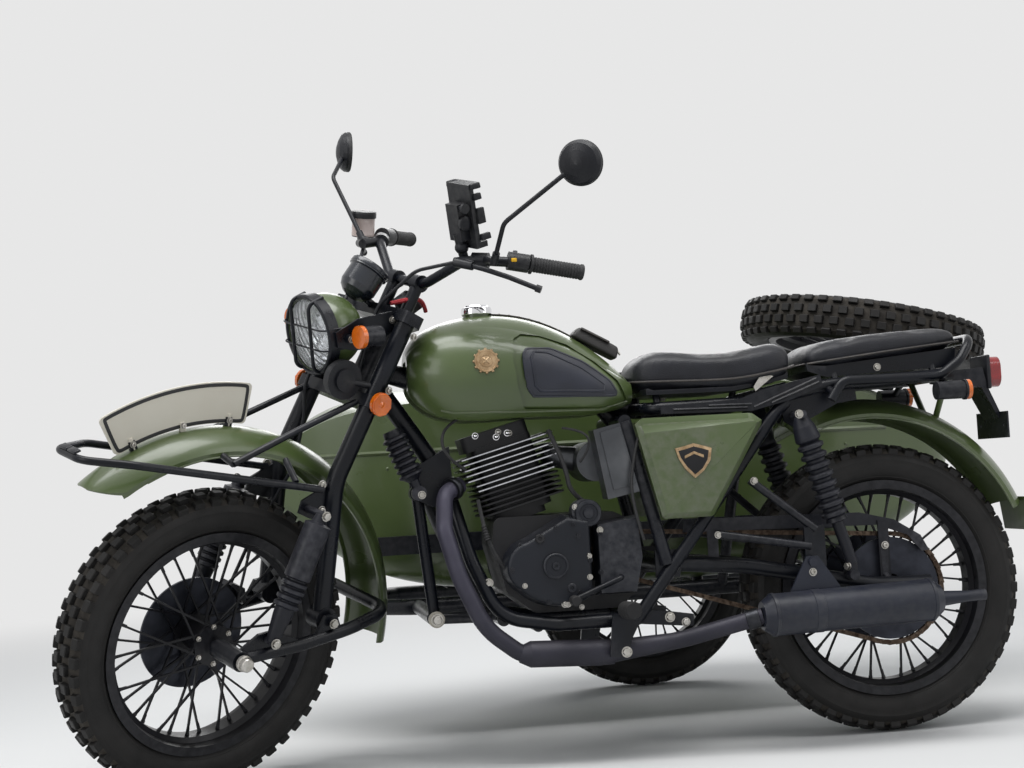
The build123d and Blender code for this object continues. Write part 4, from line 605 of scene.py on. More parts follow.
# Front bolts: (kind, size, behind the front axle, from the middle to each side, above the floor)
front_bolts = [
    ("axle", 1.0, 0, 172, 322),
    ("hex", 1.15, 67, 180, 354),
    ("hex", 1.1, 222, 158, 363),
    ("hex", 1.1, 179, 180, 608),
    ("cap", 1.0, 213, 110, 655),
    ("cap", 1.0, 213, 111, 600),
    ("cap", 0.9, 330, 140, 836),
    ("cap", 0.9, 352, 140, 850),
    ("cap", 0.9, 411, 140, 960),
    ("cap", 0.9, 388, 93, 992),
    ("cap", 0.8, 278, 103, 958),
]
for kind, size, x, y, z in front_bolts:
    for side in (-1, 1):
        name = "front_bolt_{}_{}_{}".format(x, z, hands[side])
        piece = put(twin(kinds[kind], name), spot(x, side * y, z), (0, side, 0), size=size)
        fit_front(piece, "disc_steel", zinc)

# Front mudguard: rolled steel in satin olive paint, with a beaded lower edge and a shallow crown.
# Satin olive paint also covers the tank, the covers, the lamp and the sidecar's body.
olive = finish(
    "olive_paint", (0.056, 0.084, 0.024), (0.07, 0.103, 0.031), (0.27, 0.36), patch=4.0, grain=900.0,
    depth=0.00012, coat=0.35, dust=0.07, bare=(0.12, 0.13, 0.09),
)
dress(
    olive,
    "fuel_tank", "front_fender", "rear_fender", "side_covers", "sidecar_tub", "sidecar_fender",
    "headlamp_shell",
)


def rod(name, points, radius, sides=10, closed=False):
    """A round rod or bead along a smooth line of points, in metres."""
    line = bpy.data.curves.new(name, "CURVE")
    line.dimensions = "3D"
    run = line.splines.new("NURBS")
    run.points.add(len(points) - 1)
    for point, place in zip(run.points, points):
        point.co = (*place, 1)
    run.order_u = 3
    run.use_endpoint_u = not closed
    run.use_cyclic_u = closed
    run.resolution_u = 6
    line.bevel_depth = radius
    line.bevel_resolution = max(1, sides // 4 - 1)
    line.use_fill_caps = not closed
    piece = bpy.data.objects.new(name, line)
    bpy.context.scene.collection.objects.link(piece)
    only(piece)
    bpy.ops.object.convert(target="MESH")
    return bpy.context.object


def guard_edge(name, centre, radius, half, from_deg, to_deg, bead):
    """Two beads along the lower edges of a mudguard."""
    steps = 26
    beads = []
    for side in (-1, 1):
        points = []
        for step in range(steps + 1):
            turn = radians(from_deg + (to_deg - from_deg) * step / steps)
            points.append(centre + Vector((radius * cos(turn), side * half, radius * sin(turn))))
        beads.append(rod(name, points, bead, 8))
    return join(name, beads)


front_edge = guard_edge("front_guard_edge", front_axle, 0.4068, 0.0655, -8.5, 114, 0.0024)
fit_front(front_edge, "olive_paint", olive)
rear_edge = guard_edge("rear_guard_edge", spot(1500, 0, 350), 0.3528, 0.0815, 22.5, 117.5, 0.0024)
fit_out(rear_edge, "chassis", "olive_paint", olive)
sidecar_edge = guard_edge("sidecar_guard_edge", sidecar_axle, 0.3408, 0.0835, 12.5, 167.5, 0.0024)
fit_out(sidecar_edge, "chassis", "olive_paint", olive)

# Name plate: a blank cream enamelled plate that stands along the mudguard's crown, with a black
# painted border and rounded ends. Black clips with bolts and one white clip hold it.
cream = finish("plate_cream", (0.66, 0.62, 0.53), (0.72, 0.69, 0.6), (0.38, 0.5), patch=5)
dress(cream, "fender_plate")
plate_black = finish("plate_black", (0.008, 0.008, 0.009), (0.014, 0.014, 0.016), (0.35, 0.45))
for side in (-1, 1):
    points = []
    for radius, degrees in (
        [(0.467, deg) for deg in (80.5, 84, 88, 92, 96, 100, 104, 108, 112, 114.6)]
        + [(0.474, 115.0), (0.508, 115.0), (0.540, 114.9)]
        + [(0.542, deg) for deg in (114.6, 112, 108, 104, 100, 96, 92, 88, 84, 80.5)]
        + [(0.539, 80.0), (0.508, 79.9), (0.472, 79.9)]
    ):
        turn = radians(degrees)
        points.append(front_axle + Vector((radius * cos(turn), side * 0.0017, radius * sin(turn))))
    border = rod("plate_border", points, 0.0042, 8, closed=True)
    for vertex in border.data.vertices:
        vertex.co.y = points[0].y + (vertex.co.y - points[0].y) * 0.3
    border.name = "plate_border_" + hands[side]
    fit_front(border, "black_paint", plate_black)
# Clips: (degrees round the wheel, width, finish)
for degrees, wide, material in ((111, 16, frame_black), (84, 16, frame_black), (97, 12, cream)):
    turn = radians(degrees)
    clip = box_block("clip", (wide, 12, 26), (0, 0, 0), 0.9, 1.5, 2)
    out = Vector((cos(turn), 0, sin(turn)))
    clip.data.transform(
        Matrix.Translation(front_axle + out * 0.462) @ Matrix.Rotation(pi / 2 - turn, 4, "Y")
    )
    clip.name = "plate_clip_{}".format(degrees)
    fit_front(clip, "black_paint", material)
    screw = put(
        twin(cap_bolt, "plate_screw_{}".format(degrees)), spot(0, -7, 322) + out * 0.468, (0, -1, 0),
        size=0.7,
    )
    fit_front(screw, "disc_steel", zinc)

# Clamp of the round-nosed hoop: two pressed steel straps, one to each side of the mudguard's crown,
# painted black with the frame.
for side in (-1, 1):
    strap = box_block("hoop_clamp", (34, 16, 5), (0, 0, 0), 0.9, 1.5, 2)
    strap = put(strap, spot(-298, side * 18, 764), (-0.35, 0, 1))
    strap.name = "hoop_clamp_" + hands[side]
    fit_front(strap, "black_paint", frame_black)

# Front shocks and the steering damper: smooth pressed covers over rubber boots, satin black, with
# the boot's folds dulled by dust. The rear shocks show their coils, with rubbed bright edges.
shock_black = finish(
    "shock_black", (
        0.006, 0.0065, 0.01
    ), (0.012, 0.013, 0.019), (0.34, 0.48), dust=0.04, bare=(0.07, 0.07, 0.08),
    shine=0.28,
)
dress(shock_black, "front_shocks", "rear_shocks", "steering_damper", "chain_guard")
for side in (-1, 1):
    for turn in range(8):
        # Bright wear on the crest of each coil of the rear shock
        share = 0.205 + turn * 0.065
        top, foot = spot(1318, side * 146, 712), spot(1414, side * 146, 388)
        coil = lathe("coil_wear", [(28.9, -2.2), (29.25, -1.2), (29.25, 1.2), (28.9, 2.2)], 28)
        put(coil, top + (foot - top) * share, foot - top)
        coil.name = "coil_wear_{}_{}".format(hands[side], turn)
        fit_out(coil, "chassis", "shock_black", dark_steel)

# Headlamp: an olive bowl with a black rim. A chromed reflector and a bulb cap stand behind a domed
# glass with moulded flutes, and the wire guard stands before it.
lamp_face = spot(268, 0, 958)
lamp_nod = radians(8)
lamp_ahead = Vector((-cos(lamp_nod), 0, -sin(lamp_nod)))
chrome = finish(
    "chrome", (0.7, 0.7, 0.72), (0.82, 0.82, 0.84), (0.05, 0.12), metal=1.0, patch=30, grain=300,
    depth=0.00002,
)
lamp_rim = lathe(
    "lamp_rim", [(76.5, 25), (78, 31), (81, 33.5), (85, 33), (87.2, 30), (87.2, 7), (86.2, 6)], 64
)
put(lamp_rim, lamp_face, lamp_ahead)
fit_front(lamp_rim, "black_paint", frame_black)
reflector_outline = [
    (75.5, 25), (73, 18), (66, 4), (54, -12), (38, -25), (22, -32), (16, -33), (16, -20), (13, -14), (0, -12)
]
reflector = lathe("lamp_reflector", reflector_outline, 64)
put(reflector, lamp_face, lamp_ahead)
fit_front(reflector, "lamp_glass", chrome)
glass = bpy.data.materials.new("fluted_glass")
glass.use_nodes = True
tree = glass.node_tree
shader = tree.nodes["Principled BSDF"]
shader.inputs["Base Color"].default_value = (0.93, 0.95, 0.96, 1)
shader.inputs["Transmission Weight"].default_value = 0.86
shader.inputs["IOR"].default_value = 1.45
tree.links.new(drift(tree, noise(tree, 30, 4), 0.03, 0.12), shader.inputs["Roughness"])
flutes = tree.nodes.new("ShaderNodeTexWave")
flutes.inputs["Scale"].default_value = 42
flutes.inputs["Distortion"].default_value = 0.4
flute_place = tree.nodes.new("ShaderNodeTexCoord")
flute_turn = tree.nodes.new("ShaderNodeMapping")
flute_turn.inputs["Rotation"].default_value = (0, 0, parked_turn + pi / 2)
tree.links.new(flute_place.outputs["Object"], flute_turn.inputs["Vector"])
tree.links.new(flute_turn.outputs["Vector"], flutes.inputs["Vector"])
tree.links.new(relief(tree, flutes.outputs["Fac"], 0.0015, 0.7), shader.inputs["Normal"])
dome = [(77, 23), (77, 26), (70, 29), (58, 32.5), (40, 35.8), (20, 37.6), (0, 38)]
dome += [(r, h - 2.5) for r, h in reversed(dome[2:])] + [(74, 23), (77, 23)]
lens = lathe("lamp_lens", dome, 64)
put(lens, lamp_face, lamp_ahead)
fit_front(lens, "lamp_glass", glass)
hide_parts("headlamp_lens")

# Turn signals and side reflectors: orange plastic lenses in black housings. The two reflectors on
# the fork are moulded discs with eight flat facets each.
orange = finish(
    "orange_lens", (0.62, 0.12, 0.004), (0.78, 0.17, 0.006), (0.1, 0.2), patch=30, grain=260, depth=0.0008,
    coat=0.7,
)
dress(orange, "front_signal_lenses", "rear_signal_lenses")
facet_disc = lathe("facet_disc", [(24.5, -1), (24.8, 2.6), (23.6, 3.6), (22, 3.2), (7, 1.2), (0, 4.6)], 8)
for side in (-1, 1):
    piece = put(
        twin(facet_disc, "side_reflector"), spot(328.2, side * 150, 823.3), (0, side, 0), roll=radians(22)
    )
    piece.name = "side_reflector_" + hands[side]
    fit_front(piece, "orange_lens", orange, smooth=1)
scrap(facet_disc)

# Instrument: a black can with a turned bezel, a white dial with plain marks and a red needle on a
# boss. The dial stands open, with no glass over it.
gauge_tilt = radians(38)
gauge_up = Vector((sin(gauge_tilt), 0, cos(gauge_tilt)))
gauge_face = spot(372, 0, 1066) + gauge_up * 0.028
gauge_black = finish(
    "gauge_black", (0.005, 0.007, 0.012), (0.01, 0.013, 0.02), (0.2, 0.32), coat=0.3, dust=0.03
)
dress(gauge_black, "gauge")
bezel = lathe(
    "gauge_bezel", [(37.5, 0.2), (37.5, 5.5), (40, 7.5), (43.5, 7), (45.6, 4), (45.6, -4), (44.6, -5)], 48
)
dial = lathe("gauge_dial", [(0, 1.6), (37.4, 1.6), (37.4, 0.4)], 48)
marks = []
for index in range(25):
    turn = radians(-120 + 10 * index)
    long = 6.5 if index % 4 == 0 else 3.5
    mark = box_block("mark", (0.9, long, 0.4), (0, 33.5 - long / 2, 1.9))
    mark.data.transform(Matrix.Rotation(turn, 4, "Z"))
    marks.append(mark)
needle = box_block("needle", (1.5, 34, 0.8), (0, 11, 3.2), 0.6)
needle.data.transform(Matrix.Rotation(radians(118), 4, "Z"))
boss = lathe("boss", [(5.2, 1.8), (5.2, 4.4), (3.6, 5), (0, 5)], 18)
dial_white = finish("dial_white", (0.6, 0.6, 0.58), (0.7, 0.7, 0.68), (0.5, 0.6))
needle_red = finish("needle_red", (0.5, 0.02, 0.01), (0.6, 0.03, 0.015), (0.4, 0.5))
# Instrument pieces: (name, piece, material)
for name, piece, material in (
    ("gauge_bezel", bezel, gauge_black),
    ("gauge_dial", dial, dial_white),
    ("gauge_marks", join("marks", marks), gauge_black),
    ("gauge_needle", join("needle", [needle, boss]), needle_red),
):
    put(piece, gauge_face, gauge_up, roll=radians(90))
    piece.name = name
    fit_front(piece, "satin_plastic", material)

# Bars: black tube with ribbed rubber grips, switch blocks with bright buttons, forged levers, a
# pale brake fluid cup under a black cap, and two round mirrors with rubber-edged glass.
control_black = finish(
    "control_black", (
        0.005, 0.0055, 0.008
    ), (0.011, 0.012, 0.016), (0.33, 0.46), dust=0.03, bare=(0.05, 0.05, 0.05), shine=0.28
)
dress(control_black, "bar_controls", "mirrors", "horn", "front_cables")
grip_rubber = finish(
    "grip_rubber", (0.009, 0.009, 0.01), (0.018, 0.018, 0.019), (0.6, 0.8), patch=30, grain=500, depth=0.0005
)
grip_outline = [(11.5, 0), (21, 0), (21.5, 2), (21, 5), (16.2, 6.5)]
grip_ribs, grip_pitch = 16, 6.2
for rib in range(grip_ribs):
    low = 9 + rib * grip_pitch
    grip_outline += [(15.4, low), (16.6, low + 1.2), (16.6, low + 4.2), (15.4, low + 5.4)]
grip_outline += [(16.2, 110), (17.4, 112), (17.4, 116), (15.5, 118), (0, 118)]
sleeves = []
for side in (-1, 1):
    bar_end = spot(720, side * 311, 1110)
    bar_run = (bar_end - spot(606, side * 245, 1126)).normalized()
    sleeves.append(put(lathe("grip", grip_outline, 28), bar_end - bar_run * 0.112, bar_run))
    block_at = bar_end - bar_run * 0.138
    # Buttons on the block: (along the bar, round it in degrees, width, height, material)
    for along_bar, turn, wide, high, kind in (
        (-0.006, 150, 13, 8, 0), (0.01, 205, 9, 9, 1), (-0.008, 250, 11, 6, 2)
    ):
        tones_by_kind = ((0.75, 0.42, 0.01), (0.5, 0.02, 0.015), (0.05, 0.05, 0.055))
        tone = tones_by_kind[kind]
        button_paint = finish(
            "button_{}_{}".format(kind, side), tone, tuple(c * 1.2 for c in tone), (0.3, 0.45)
        )
        button = box_block("button", (wide, high, 7), (0, 0, 0), 0.8, 1.2, 2)
        round_bar = Matrix.Rotation(radians(turn) * -side, 4, bar_run)
        out = (round_bar @ bar_run.cross(Vector((0, 0, 1)))).normalized()
        put(button, block_at + bar_run * along_bar + out * 0.021, out)
        button.name = "button_{}_{}".format(hands[side], kind)
        fit_front(button, "satin_plastic", button_paint)
grips = join("ribbed_grips", sleeves)
fit_front(grips, "grip_rubber", grip_rubber)
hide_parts("grips")
cup_white = finish("fluid_cup", (0.5, 0.39, 0.35), (0.62, 0.52, 0.49), (0.2, 0.3), patch=20, coat=0.4)
cup = lathe(
    "fluid_cup",
    [(14, -0.5), (24, -0.5), (26.6, 2), (26.8, 8), (26.4, 9), (26.4, 34), (27, 36), (27, 43.5), (14, 43.5)],
    40,
)
put(cup, spot(540, 248, 1128))
cup_cap = lathe("fluid_cup_cap", [(27, 43), (29.4, 43.5), (29.6, 55), (27, 58.5), (12, 59), (0, 59)], 24)
put(cup_cap, spot(540, 248, 1128))
for piece, material in ((cup, cup_white), (cup_cap, control_black)):
    fit_front(piece, "satin_plastic", material)
mirror_glass = finish(
    "mirror_glass", (0.75, 0.77, 0.8), (0.8, 0.82, 0.85), (0.02, 0.04), metal=1.0, grain=40, depth=0.00001
)
# Mirrors: (middle behind the front axle, to the right, above the floor, side)
for x, y, z, side in ((618, -402, 1349, -1), (588, 402, 1312, 1)):
    looks = Vector((cos(radians(26)), -side * sin(radians(26)), 0))
    for name, outline, material in (
        ("mirror_glass", [(0, 8.6), (43.5, 8.6), (44, 8.0)], mirror_glass),
        ("mirror_rim", [(43.5, 7), (43.8, 9.6), (45.5, 10), (47.4, 8), (47.6, 3), (47, 2)], grip_rubber),
    ):
        piece = put(lathe(name, outline, 48), spot(x, y, z), looks)
        piece.name = name + "_" + hands[side]
        fit_front(piece, "satin_plastic", material)
# Red webbing tag at the lock
tag_red = finish(
    "tag_red", (0.3, 0.012, 0.02), (0.42, 0.02, 0.03), (0.6, 0.75), patch=60, grain=1200, depth=0.0005
)
tag = rod(
    "red_tag",
    [
        spot(420, -40, 1018), spot(450, -46, 1024), spot(486, -40, 1026), spot(516, -30, 1014),
        spot(526, -26, 992),
    ],
    0.005, 8,
)
fit_front(tag, "satin_plastic", tag_red)

# Fuel tank: a pressed shell in olive paint with a welded lower seam, ribbed rubber knee pads, a
# chromed cap, a toothed gilt badge with two crossed bars, and a studded leather strap.


# Rays start this far beside and above the machine, in millimetres
beside, above = 600, 1050


def shaped(piece, kind, **settings):
    """Gives the active piece a modifier and applies it."""
    step = piece.modifiers.new(kind.lower(), kind)
    for setting, value in settings.items():
        setattr(step, setting, value)
    bpy.ops.object.modifier_apply(modifier=step.name)


def cling(points, node, side, lift=0.0):
    """Points given along and above the machine, in millimetres, laid on a solid from one side."""
    laid = []
    for x, z in points:
        start = spot(x, side * beside, z) if node != "sidecar_tub" else spot(x, -100, z)
        hit = meet(node, start, (0, -side, 0))
        if hit:
            laid.append(hit[0] + Vector((0, side * lift, 0)))
    return laid


def inserted(points, parts):
    """The same outline with more points on each run."""
    made = []
    for (x, z), (next_x, next_z) in zip(points, points[1:]):
        made += [(x + (next_x - x) * n / parts, z + (next_z - z) * n / parts) for n in range(parts)]
    return made + [points[-1]]


gilt = finish(
    "gilt", (0.3, 0.2, 0.11), (0.5, 0.36, 0.22), (0.25, 0.4), metal=0.9, patch=60, grain=700, depth=0.0002
)
badge_black = finish("badge_black", (0.006, 0.006, 0.007), (0.01, 0.01, 0.012), (0.4, 0.5), shine=0.3)
pad_rubber = finish(
    "pad_rubber", (0.009, 0.011, 0.02), (0.016, 0.019, 0.032), (0.34, 0.46), patch=20, grain=700,
    depth=0.0003, dust=0.08,
)
dress(pad_rubber, "knee_pads")
ridge_line = [
    (732, 866), (740, 880), (770, 877), (841, 841), (892, 803), (890, 789), (860, 790), (750, 795),
    (738, 806), (732, 866),
]
rim_line = [
    (720, 803), (714, 872), (724, 887), (777, 886), (847, 854), (904, 811), (923, 780), (900, 779),
    (735, 784), (720, 803),
]
seam_line = [(540, 766), (565, 760), (706, 755), (889, 751), (948, 766)]
for side in (-1, 1):
    ridge = rod(
        "pad_ridge_" + hands[side], cling(inserted(ridge_line, 4), "knee_pads", side, -0.0004), 0.003, 10
    )
    fit_out(ridge, "chassis", "grip_rubber", pad_rubber)
    rim = rod("pad_rim_" + hands[side], cling(inserted(rim_line, 4), "knee_pads", side, -0.0012), 0.003, 10)
    fit_out(rim, "chassis", "grip_rubber", pad_rubber)
    seam = rod(
        "tank_seam_" + hands[side], cling(inserted(seam_line, 6), "fuel_tank", side, -0.0008), 0.0035, 10
    )
    fit_out(seam, "chassis", "olive_paint", olive)
    place, normal = meet("fuel_tank", spot(635, side * beside, 864), (0, -side, 0))
    teeth = [box_block("tooth", (6, 7, 3), (0, 0, 0), 0.8, 0.5) for index in range(12)]
    for index, tooth in enumerate(teeth):
        tooth.data.transform(Matrix.Rotation(index * pi / 6, 4, "Z") @ Matrix.Translation((0, 0.0255, 0.001)))
    disc = lathe(
        "disc",
        [
            (0, 2.2), (12, 2.2), (12.4, 3.4), (14, 3.4), (14.4, 2.2), (21, 2.2), (22, 3.2), (25, 3.2),
            (25.6, 0), (25.6, -3),
        ],
        36,
    )
    arms = [box_block("arm", (4, 22, 2.2), (0, 0, 2.6), 0.8, 0.4) for index in range(2)]
    for index, arm in enumerate(arms):
        arm.data.transform(Matrix.Rotation(pi / 4 + index * pi / 2, 4, "Z"))
    badge = put(join("tank_badge_" + hands[side], teeth + [disc] + arms), place, normal)
    fit_out(badge, "chassis", "olive_paint", gilt)
cap = lathe(
    "tank_cap", [(32, -8), (34, -6), (34, 4), (32.5, 8), (27, 10), (25, 13), (12, 14.5), (0, 14.5)], 40
)
put(cap, spot(640, 0, 984))
fit_out(cap, "chassis", "disc_steel", chrome)
# Studded strap along the tank's spine, from the cap to the pouch
strap_from, strap_to, strap_width = 672, 850, 34
bpy.ops.object.select_all(action="DESELECT")
bpy.ops.mesh.primitive_grid_add(x_subdivisions=14, y_subdivisions=6, size=1, location=(0, 0, 0))
strap = bpy.context.object
strap.name = "tank_strap"
strap.data.transform(Matrix.Diagonal(((strap_to - strap_from) / 1000, strap_width / 1000, 1, 1)))
strap.data.transform(Matrix.Translation(spot((strap_from + strap_to) / 2, 0, above)))
for vertex in strap.data.vertices:
    vertex.co = meet("fuel_tank", vertex.co, (0, 0, -1))[0] + Vector((0, 0, 0.0012))
shaped(strap, "SOLIDIFY", thickness=0.003, offset=1)
strap_leather = finish(
    "strap_leather", (0.012, 0.011, 0.011), (0.024, 0.022, 0.021), (0.42, 0.6), patch=26, grain=520,
    depth=0.0007, bare=(0.07, 0.055, 0.045),
)
fit_out(strap, "chassis", "seat_leather", strap_leather)
studs = []
stud = lathe("stud", [(4.2, -0.5), (4, 0.8), (2.6, 2.1), (0, 2.6)], 10)
for x in range(690, 850, 22):
    place, normal = meet("fuel_tank", spot(x, 0, above), (0, 0, -1))
    studs.append(put(twin(stud, "stud"), place + normal * 0.0042, normal))
scrap(stud)
fit_out(join("strap_studs", studs), "chassis", "disc_steel", zinc)

# Seats: black leather sewn over foam. Each cover is blown up by a cloth simulation from a slightly
# smaller form, so that it crowns and its sides pull in between the seams, then piping is sewn on.


def face_outwards():
    """Turns all faces of the active piece outwards."""
    bpy.ops.object.mode_set(mode="EDIT")
    bpy.ops.mesh.select_all(action="SELECT")
    bpy.ops.mesh.normals_make_consistent(inside=False)
    bpy.ops.object.mode_set(mode="OBJECT")


ring_points = 16
nudge = Vector((0.01, 0, 0))


def padded_form(name, sections, y_middle=0.0):
    """A closed form through sections: (x, lowest, highest, half width, corner share) in millimetres."""
    bpy.ops.object.select_all(action="DESELECT")
    bpy.ops.mesh.primitive_circle_add(vertices=ring_points, radius=1, fill_type="NGON", location=(0, 0, 0))
    piece = bpy.context.object
    piece.name = name
    circle = [vertex.co.copy() for vertex in piece.data.vertices]

    def ring_at(section):
        x, low, high, half, corner = section
        made = []
        for point in circle:
            across_it = max(-1, min(1, point.x * corner))
            up_it = max(-1, min(1, point.y * corner))
            made.append(spot(x, y_middle + half * across_it, (low + high) / 2 + (high - low) / 2 * up_it))
        return made

    for vertex, place in zip(piece.data.vertices, ring_at(sections[0])):
        vertex.co = place
    for section in sections[1:]:
        bpy.ops.object.mode_set(mode="EDIT")
        bpy.ops.mesh.select_all(action="DESELECT")
        bpy.ops.object.mode_set(mode="OBJECT")
        last = piece.data.polygons[0] if section is sections[1] else max(
            piece.data.polygons, key=lambda f: f.center.x
        )
        last.select = True
        bpy.ops.object.mode_set(mode="EDIT")
        bpy.ops.mesh.extrude_region_move(TRANSFORM_OT_translate={"value": nudge})
        bpy.ops.object.mode_set(mode="OBJECT")
        moved = [vertex for vertex in piece.data.vertices if vertex.select]
        before = ring_at(sections[sections.index(section) - 1])
        places = ring_at(section)
        for vertex in moved:
            index = min(range(ring_points), key=lambda n: (before[n] + nudge - vertex.co).length)
            vertex.co = places[index]
    face_outwards()
    return piece


def stuffed(piece, voxel, cap):
    """Blows a closed form up as stuffed cloth. No point moves further than the cap, in metres."""
    only(piece)
    shaped(piece, "SUBSURF", levels=2, render_levels=2)
    shaped(piece, "REMESH", mode="VOXEL", voxel_size=voxel)
    before = [vertex.co.copy() for vertex in piece.data.vertices]
    cloth = piece.modifiers.new("cloth", "CLOTH")
    cloth.settings.use_pressure = True
    cloth.settings.uniform_pressure_force = 4
    cloth.settings.effector_weights.gravity = 0
    cloth.settings.quality = 5
    for step in range(1, 21):
        bpy.context.scene.frame_set(step)
    bpy.ops.object.modifier_apply(modifier="cloth")
    bpy.context.scene.frame_set(1)
    for vertex, start in zip(piece.data.vertices, before):
        move = vertex.co - start
        if move.length > cap:
            vertex.co = start + move * (cap / move.length)
    shaped(piece, "SMOOTH", iterations=8, factor=0.5)
    shaped(piece, "SUBSURF", levels=1, render_levels=1)
    return piece


leather = finish(
    "seat_leather", (
        0.0055, 0.006, 0.009
    ), (0.011, 0.012, 0.017), (0.34, 0.48), patch=16, grain=430, depth=0.0007,
    dust=0.03, bare=(0.03, 0.028, 0.027), shine=0.34,
)
# Rider's saddle: (behind the front axle, underside, top, half width, squareness)
rider_sections = [
    (962, 796, 842, 62, 1.05),
    (974, 787, 862, 84, 1.2),
    (1010, 782, 871, 104, 1.34),
    (1100, 782, 858, 124, 1.36),
    (1180, 782, 854, 136, 1.36),
    (1250, 790, 868, 140, 1.36),
    (1306, 800, 878, 134, 1.3),
    (1326, 812, 868, 118, 1.1),
]
pillion_sections = [
    (1350, 820, 850, 84, 1.05),
    (1362, 816, 864, 104, 1.25),
    (1420, 820, 877, 117, 1.36),
    (1540, 834, 886, 120, 1.38),
    (1640, 844, 892, 118, 1.36),
    (1706, 852, 893, 108, 1.25),
    (1724, 858, 886, 92, 1.05),
]
rider = stuffed(padded_form("rider_saddle", rider_sections), 0.006, 0.007)
fit_out(rider, "chassis", "seat_leather", leather, smooth=60)
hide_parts("rider_seat")
pillion = stuffed(padded_form("pillion_saddle", pillion_sections), 0.006, 0.006)
fit_out(pillion, "chassis", "seat_leather", leather, smooth=60)
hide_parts("pillion_seat")


def piping(name, sections, share, radius, lift):
    """A sewn welt round a cushion, at a share of its height."""
    run = []
    for side in (-1, 1):
        row = sections if side > 0 else list(reversed(sections))
        for x, low, high, half, corner in row:
            wide = half * min(1.0, corner * cos(asin(min(1, abs(2 * share - 1)))))
            run.append(spot(x, side * (wide + lift), low + (high - low) * share))
    return rod(name, run, radius, 8, closed=True)


for name, sections in (("rider_welt", rider_sections), ("pillion_welt", pillion_sections)):
    fit_out(piping(name, sections, 0.26, 0.0028, 4.5), "chassis", "seat_leather", strap_leather)

# Engine: cast cases in satin dark grey, painted darker still as shade, a black cylinder whose upper fins have
# bright edges, part bare machined metal and part painted highlight, only on the fins that catch the light,
# dark screws and chromed head nuts. Round covers and plugs are turned, with a recessed middle.
# The cases' tones are set darker than their paint: painted shade for the shadow the engine stands in.
engine_grey = finish(
    "engine_grey", (
        0.008, 0.0095, 0.014
    ), (0.013, 0.015, 0.021), (0.3, 0.42), metal=0.1, shine=0.3, patch=5, grain=1500,
    depth=0.0003, dust=0.05, bare=(0.1, 0.1, 0.11),
)
engine_black = finish(
    "engine_black", (
        0.004, 0.004, 0.005
    ), (0.009, 0.009, 0.011), (0.4, 0.55), grain=1200, depth=0.0003, dust=0.04,
    shine=0.35,
)
dress(engine_grey, "engine_covers")
dress(engine_black, "engine_cylinder", "engine_case")
# Bright metal for the fin edges, given only to the upper fins that catch the light, so partly a painted
# highlight.
bare_alloy_and_highlight = finish(
    "bare_alloy_and_highlight", (0.42, 0.43, 0.46), (0.62, 0.63, 0.66), (0.2, 0.34), metal=1.0, patch=40, grain=1400,
    depth=0.0001,
)
cylinder_lean = radians(15)
cylinder_foot = spot(705, 0, 531)
cylinder_frame = Matrix.Translation(cylinder_foot) @ Matrix.Rotation(-cylinder_lean, 4, "Y")
# Fins with bright edges, part bare metal and part painted highlight, only on the fins that catch the light:
# (height up the cylinder, length, width, corner, shift to the rear)
bright_fins = [
    (22 + 11 * n, 186, 170, 16, 13) for n in range(5, 7)
] + [(103 + 12 * n, 214, 180, 12, 13) for n in range(5)]
for height, length, width, corner, shift in bright_fins:
    bpy.ops.object.select_all(action="DESELECT")
    bpy.ops.mesh.primitive_plane_add(size=1, location=(0, 0, 0))
    edge = bpy.context.object
    bpy.ops.object.mode_set(mode="EDIT")
    bpy.ops.transform.resize(value=((length + 0.9) / 1000, (width + 0.9) / 1000, 1))
    bpy.ops.mesh.bevel(offset=corner / 1000, segments=4, affect="VERTICES")
    bpy.ops.mesh.select_all(action="SELECT")
    bpy.ops.mesh.extrude_region_move(TRANSFORM_OT_translate={"value": (0, 0, 0.0024)})
    bpy.ops.mesh.select_all(action="SELECT")
    bpy.ops.mesh.normals_make_consistent(inside=False)
    bpy.ops.object.mode_set(mode="OBJECT")
    edge.data.transform(cylinder_frame @ Matrix.Translation((shift / 1000, 0, (height + 0.6) / 1000)))
    edge.name = "fin_edge_{}".format(height)
    fit_out(edge, "chassis", "engine_black", bare_alloy_and_highlight)
# Turned covers and plugs on the left: (name, px, py, outline, material, nodes)
round_cover = [(29, -3), (29, 4), (27, 7), (20, 8), (19, 6.5), (12, 6.5), (11, 9), (0, 9)]
inner_ring = [
    (27, -2), (27, 2), (25, 3.4), (22.5, 3.4), (21.5, 1.6), (9, 1.6), (8, 4), (3.6, 4), (3.2, 2), (0, 2)
]
plug = [(10, -2), (10, 2.5), (8.5, 4), (4.5, 4), (4, 1.5), (0, 1.5)]
casings = ("engine_covers", "engine_case")
turned_covers = [
    ("starter_cover", 588, 513, round_cover, engine_grey, casings),
    ("cover_boss", 556, 566, inner_ring, engine_grey, ("engine_covers",)),
    ("oil_plug", 540, 539, plug, engine_black, ("engine_covers",)),
    ("timing_plug", 572, 588, plug, engine_grey, ("engine_covers",)),
]
for name, px, py, outline, material, nodes in turned_covers:
    piece = put(lathe(name, outline, 36), *touch(px, py, *nodes))
    fit_out(piece, "chassis", "engine_grey", material)
# Bolts round the covers' edges, by the photograph
for px, py in (
    (520, 545), (512, 570), (549, 602), (580, 592), (590, 560), (578, 536), (556, 528),
    (600, 533), (640, 524), (601, 572), (573, 524),
):
    place, _ = touch(px, py, *casings)
    bolt = put(twin(cap_bolt, "cover_bolt_{}_{}".format(px, py)), place, (0, -1, 0), size=0.62)
    fit_out(bolt, "chassis", "disc_steel", dark_steel)
for px, py in ((496, 437), (507, 433), (475, 436), (463, 470)):
    place, _ = touch(px, py, "engine_cylinder")
    nut = put(twin(dome_nut, "head_nut_{}_{}".format(px, py)), place, (0, -1, 0), size=0.8)
    fit_out(nut, "chassis", "disc_steel", chrome)

# Airbox: a welded sheet-steel canister in dull silver paint, between the frame's tubes. A raised
# rib with rounded edges is pressed into its outer side.


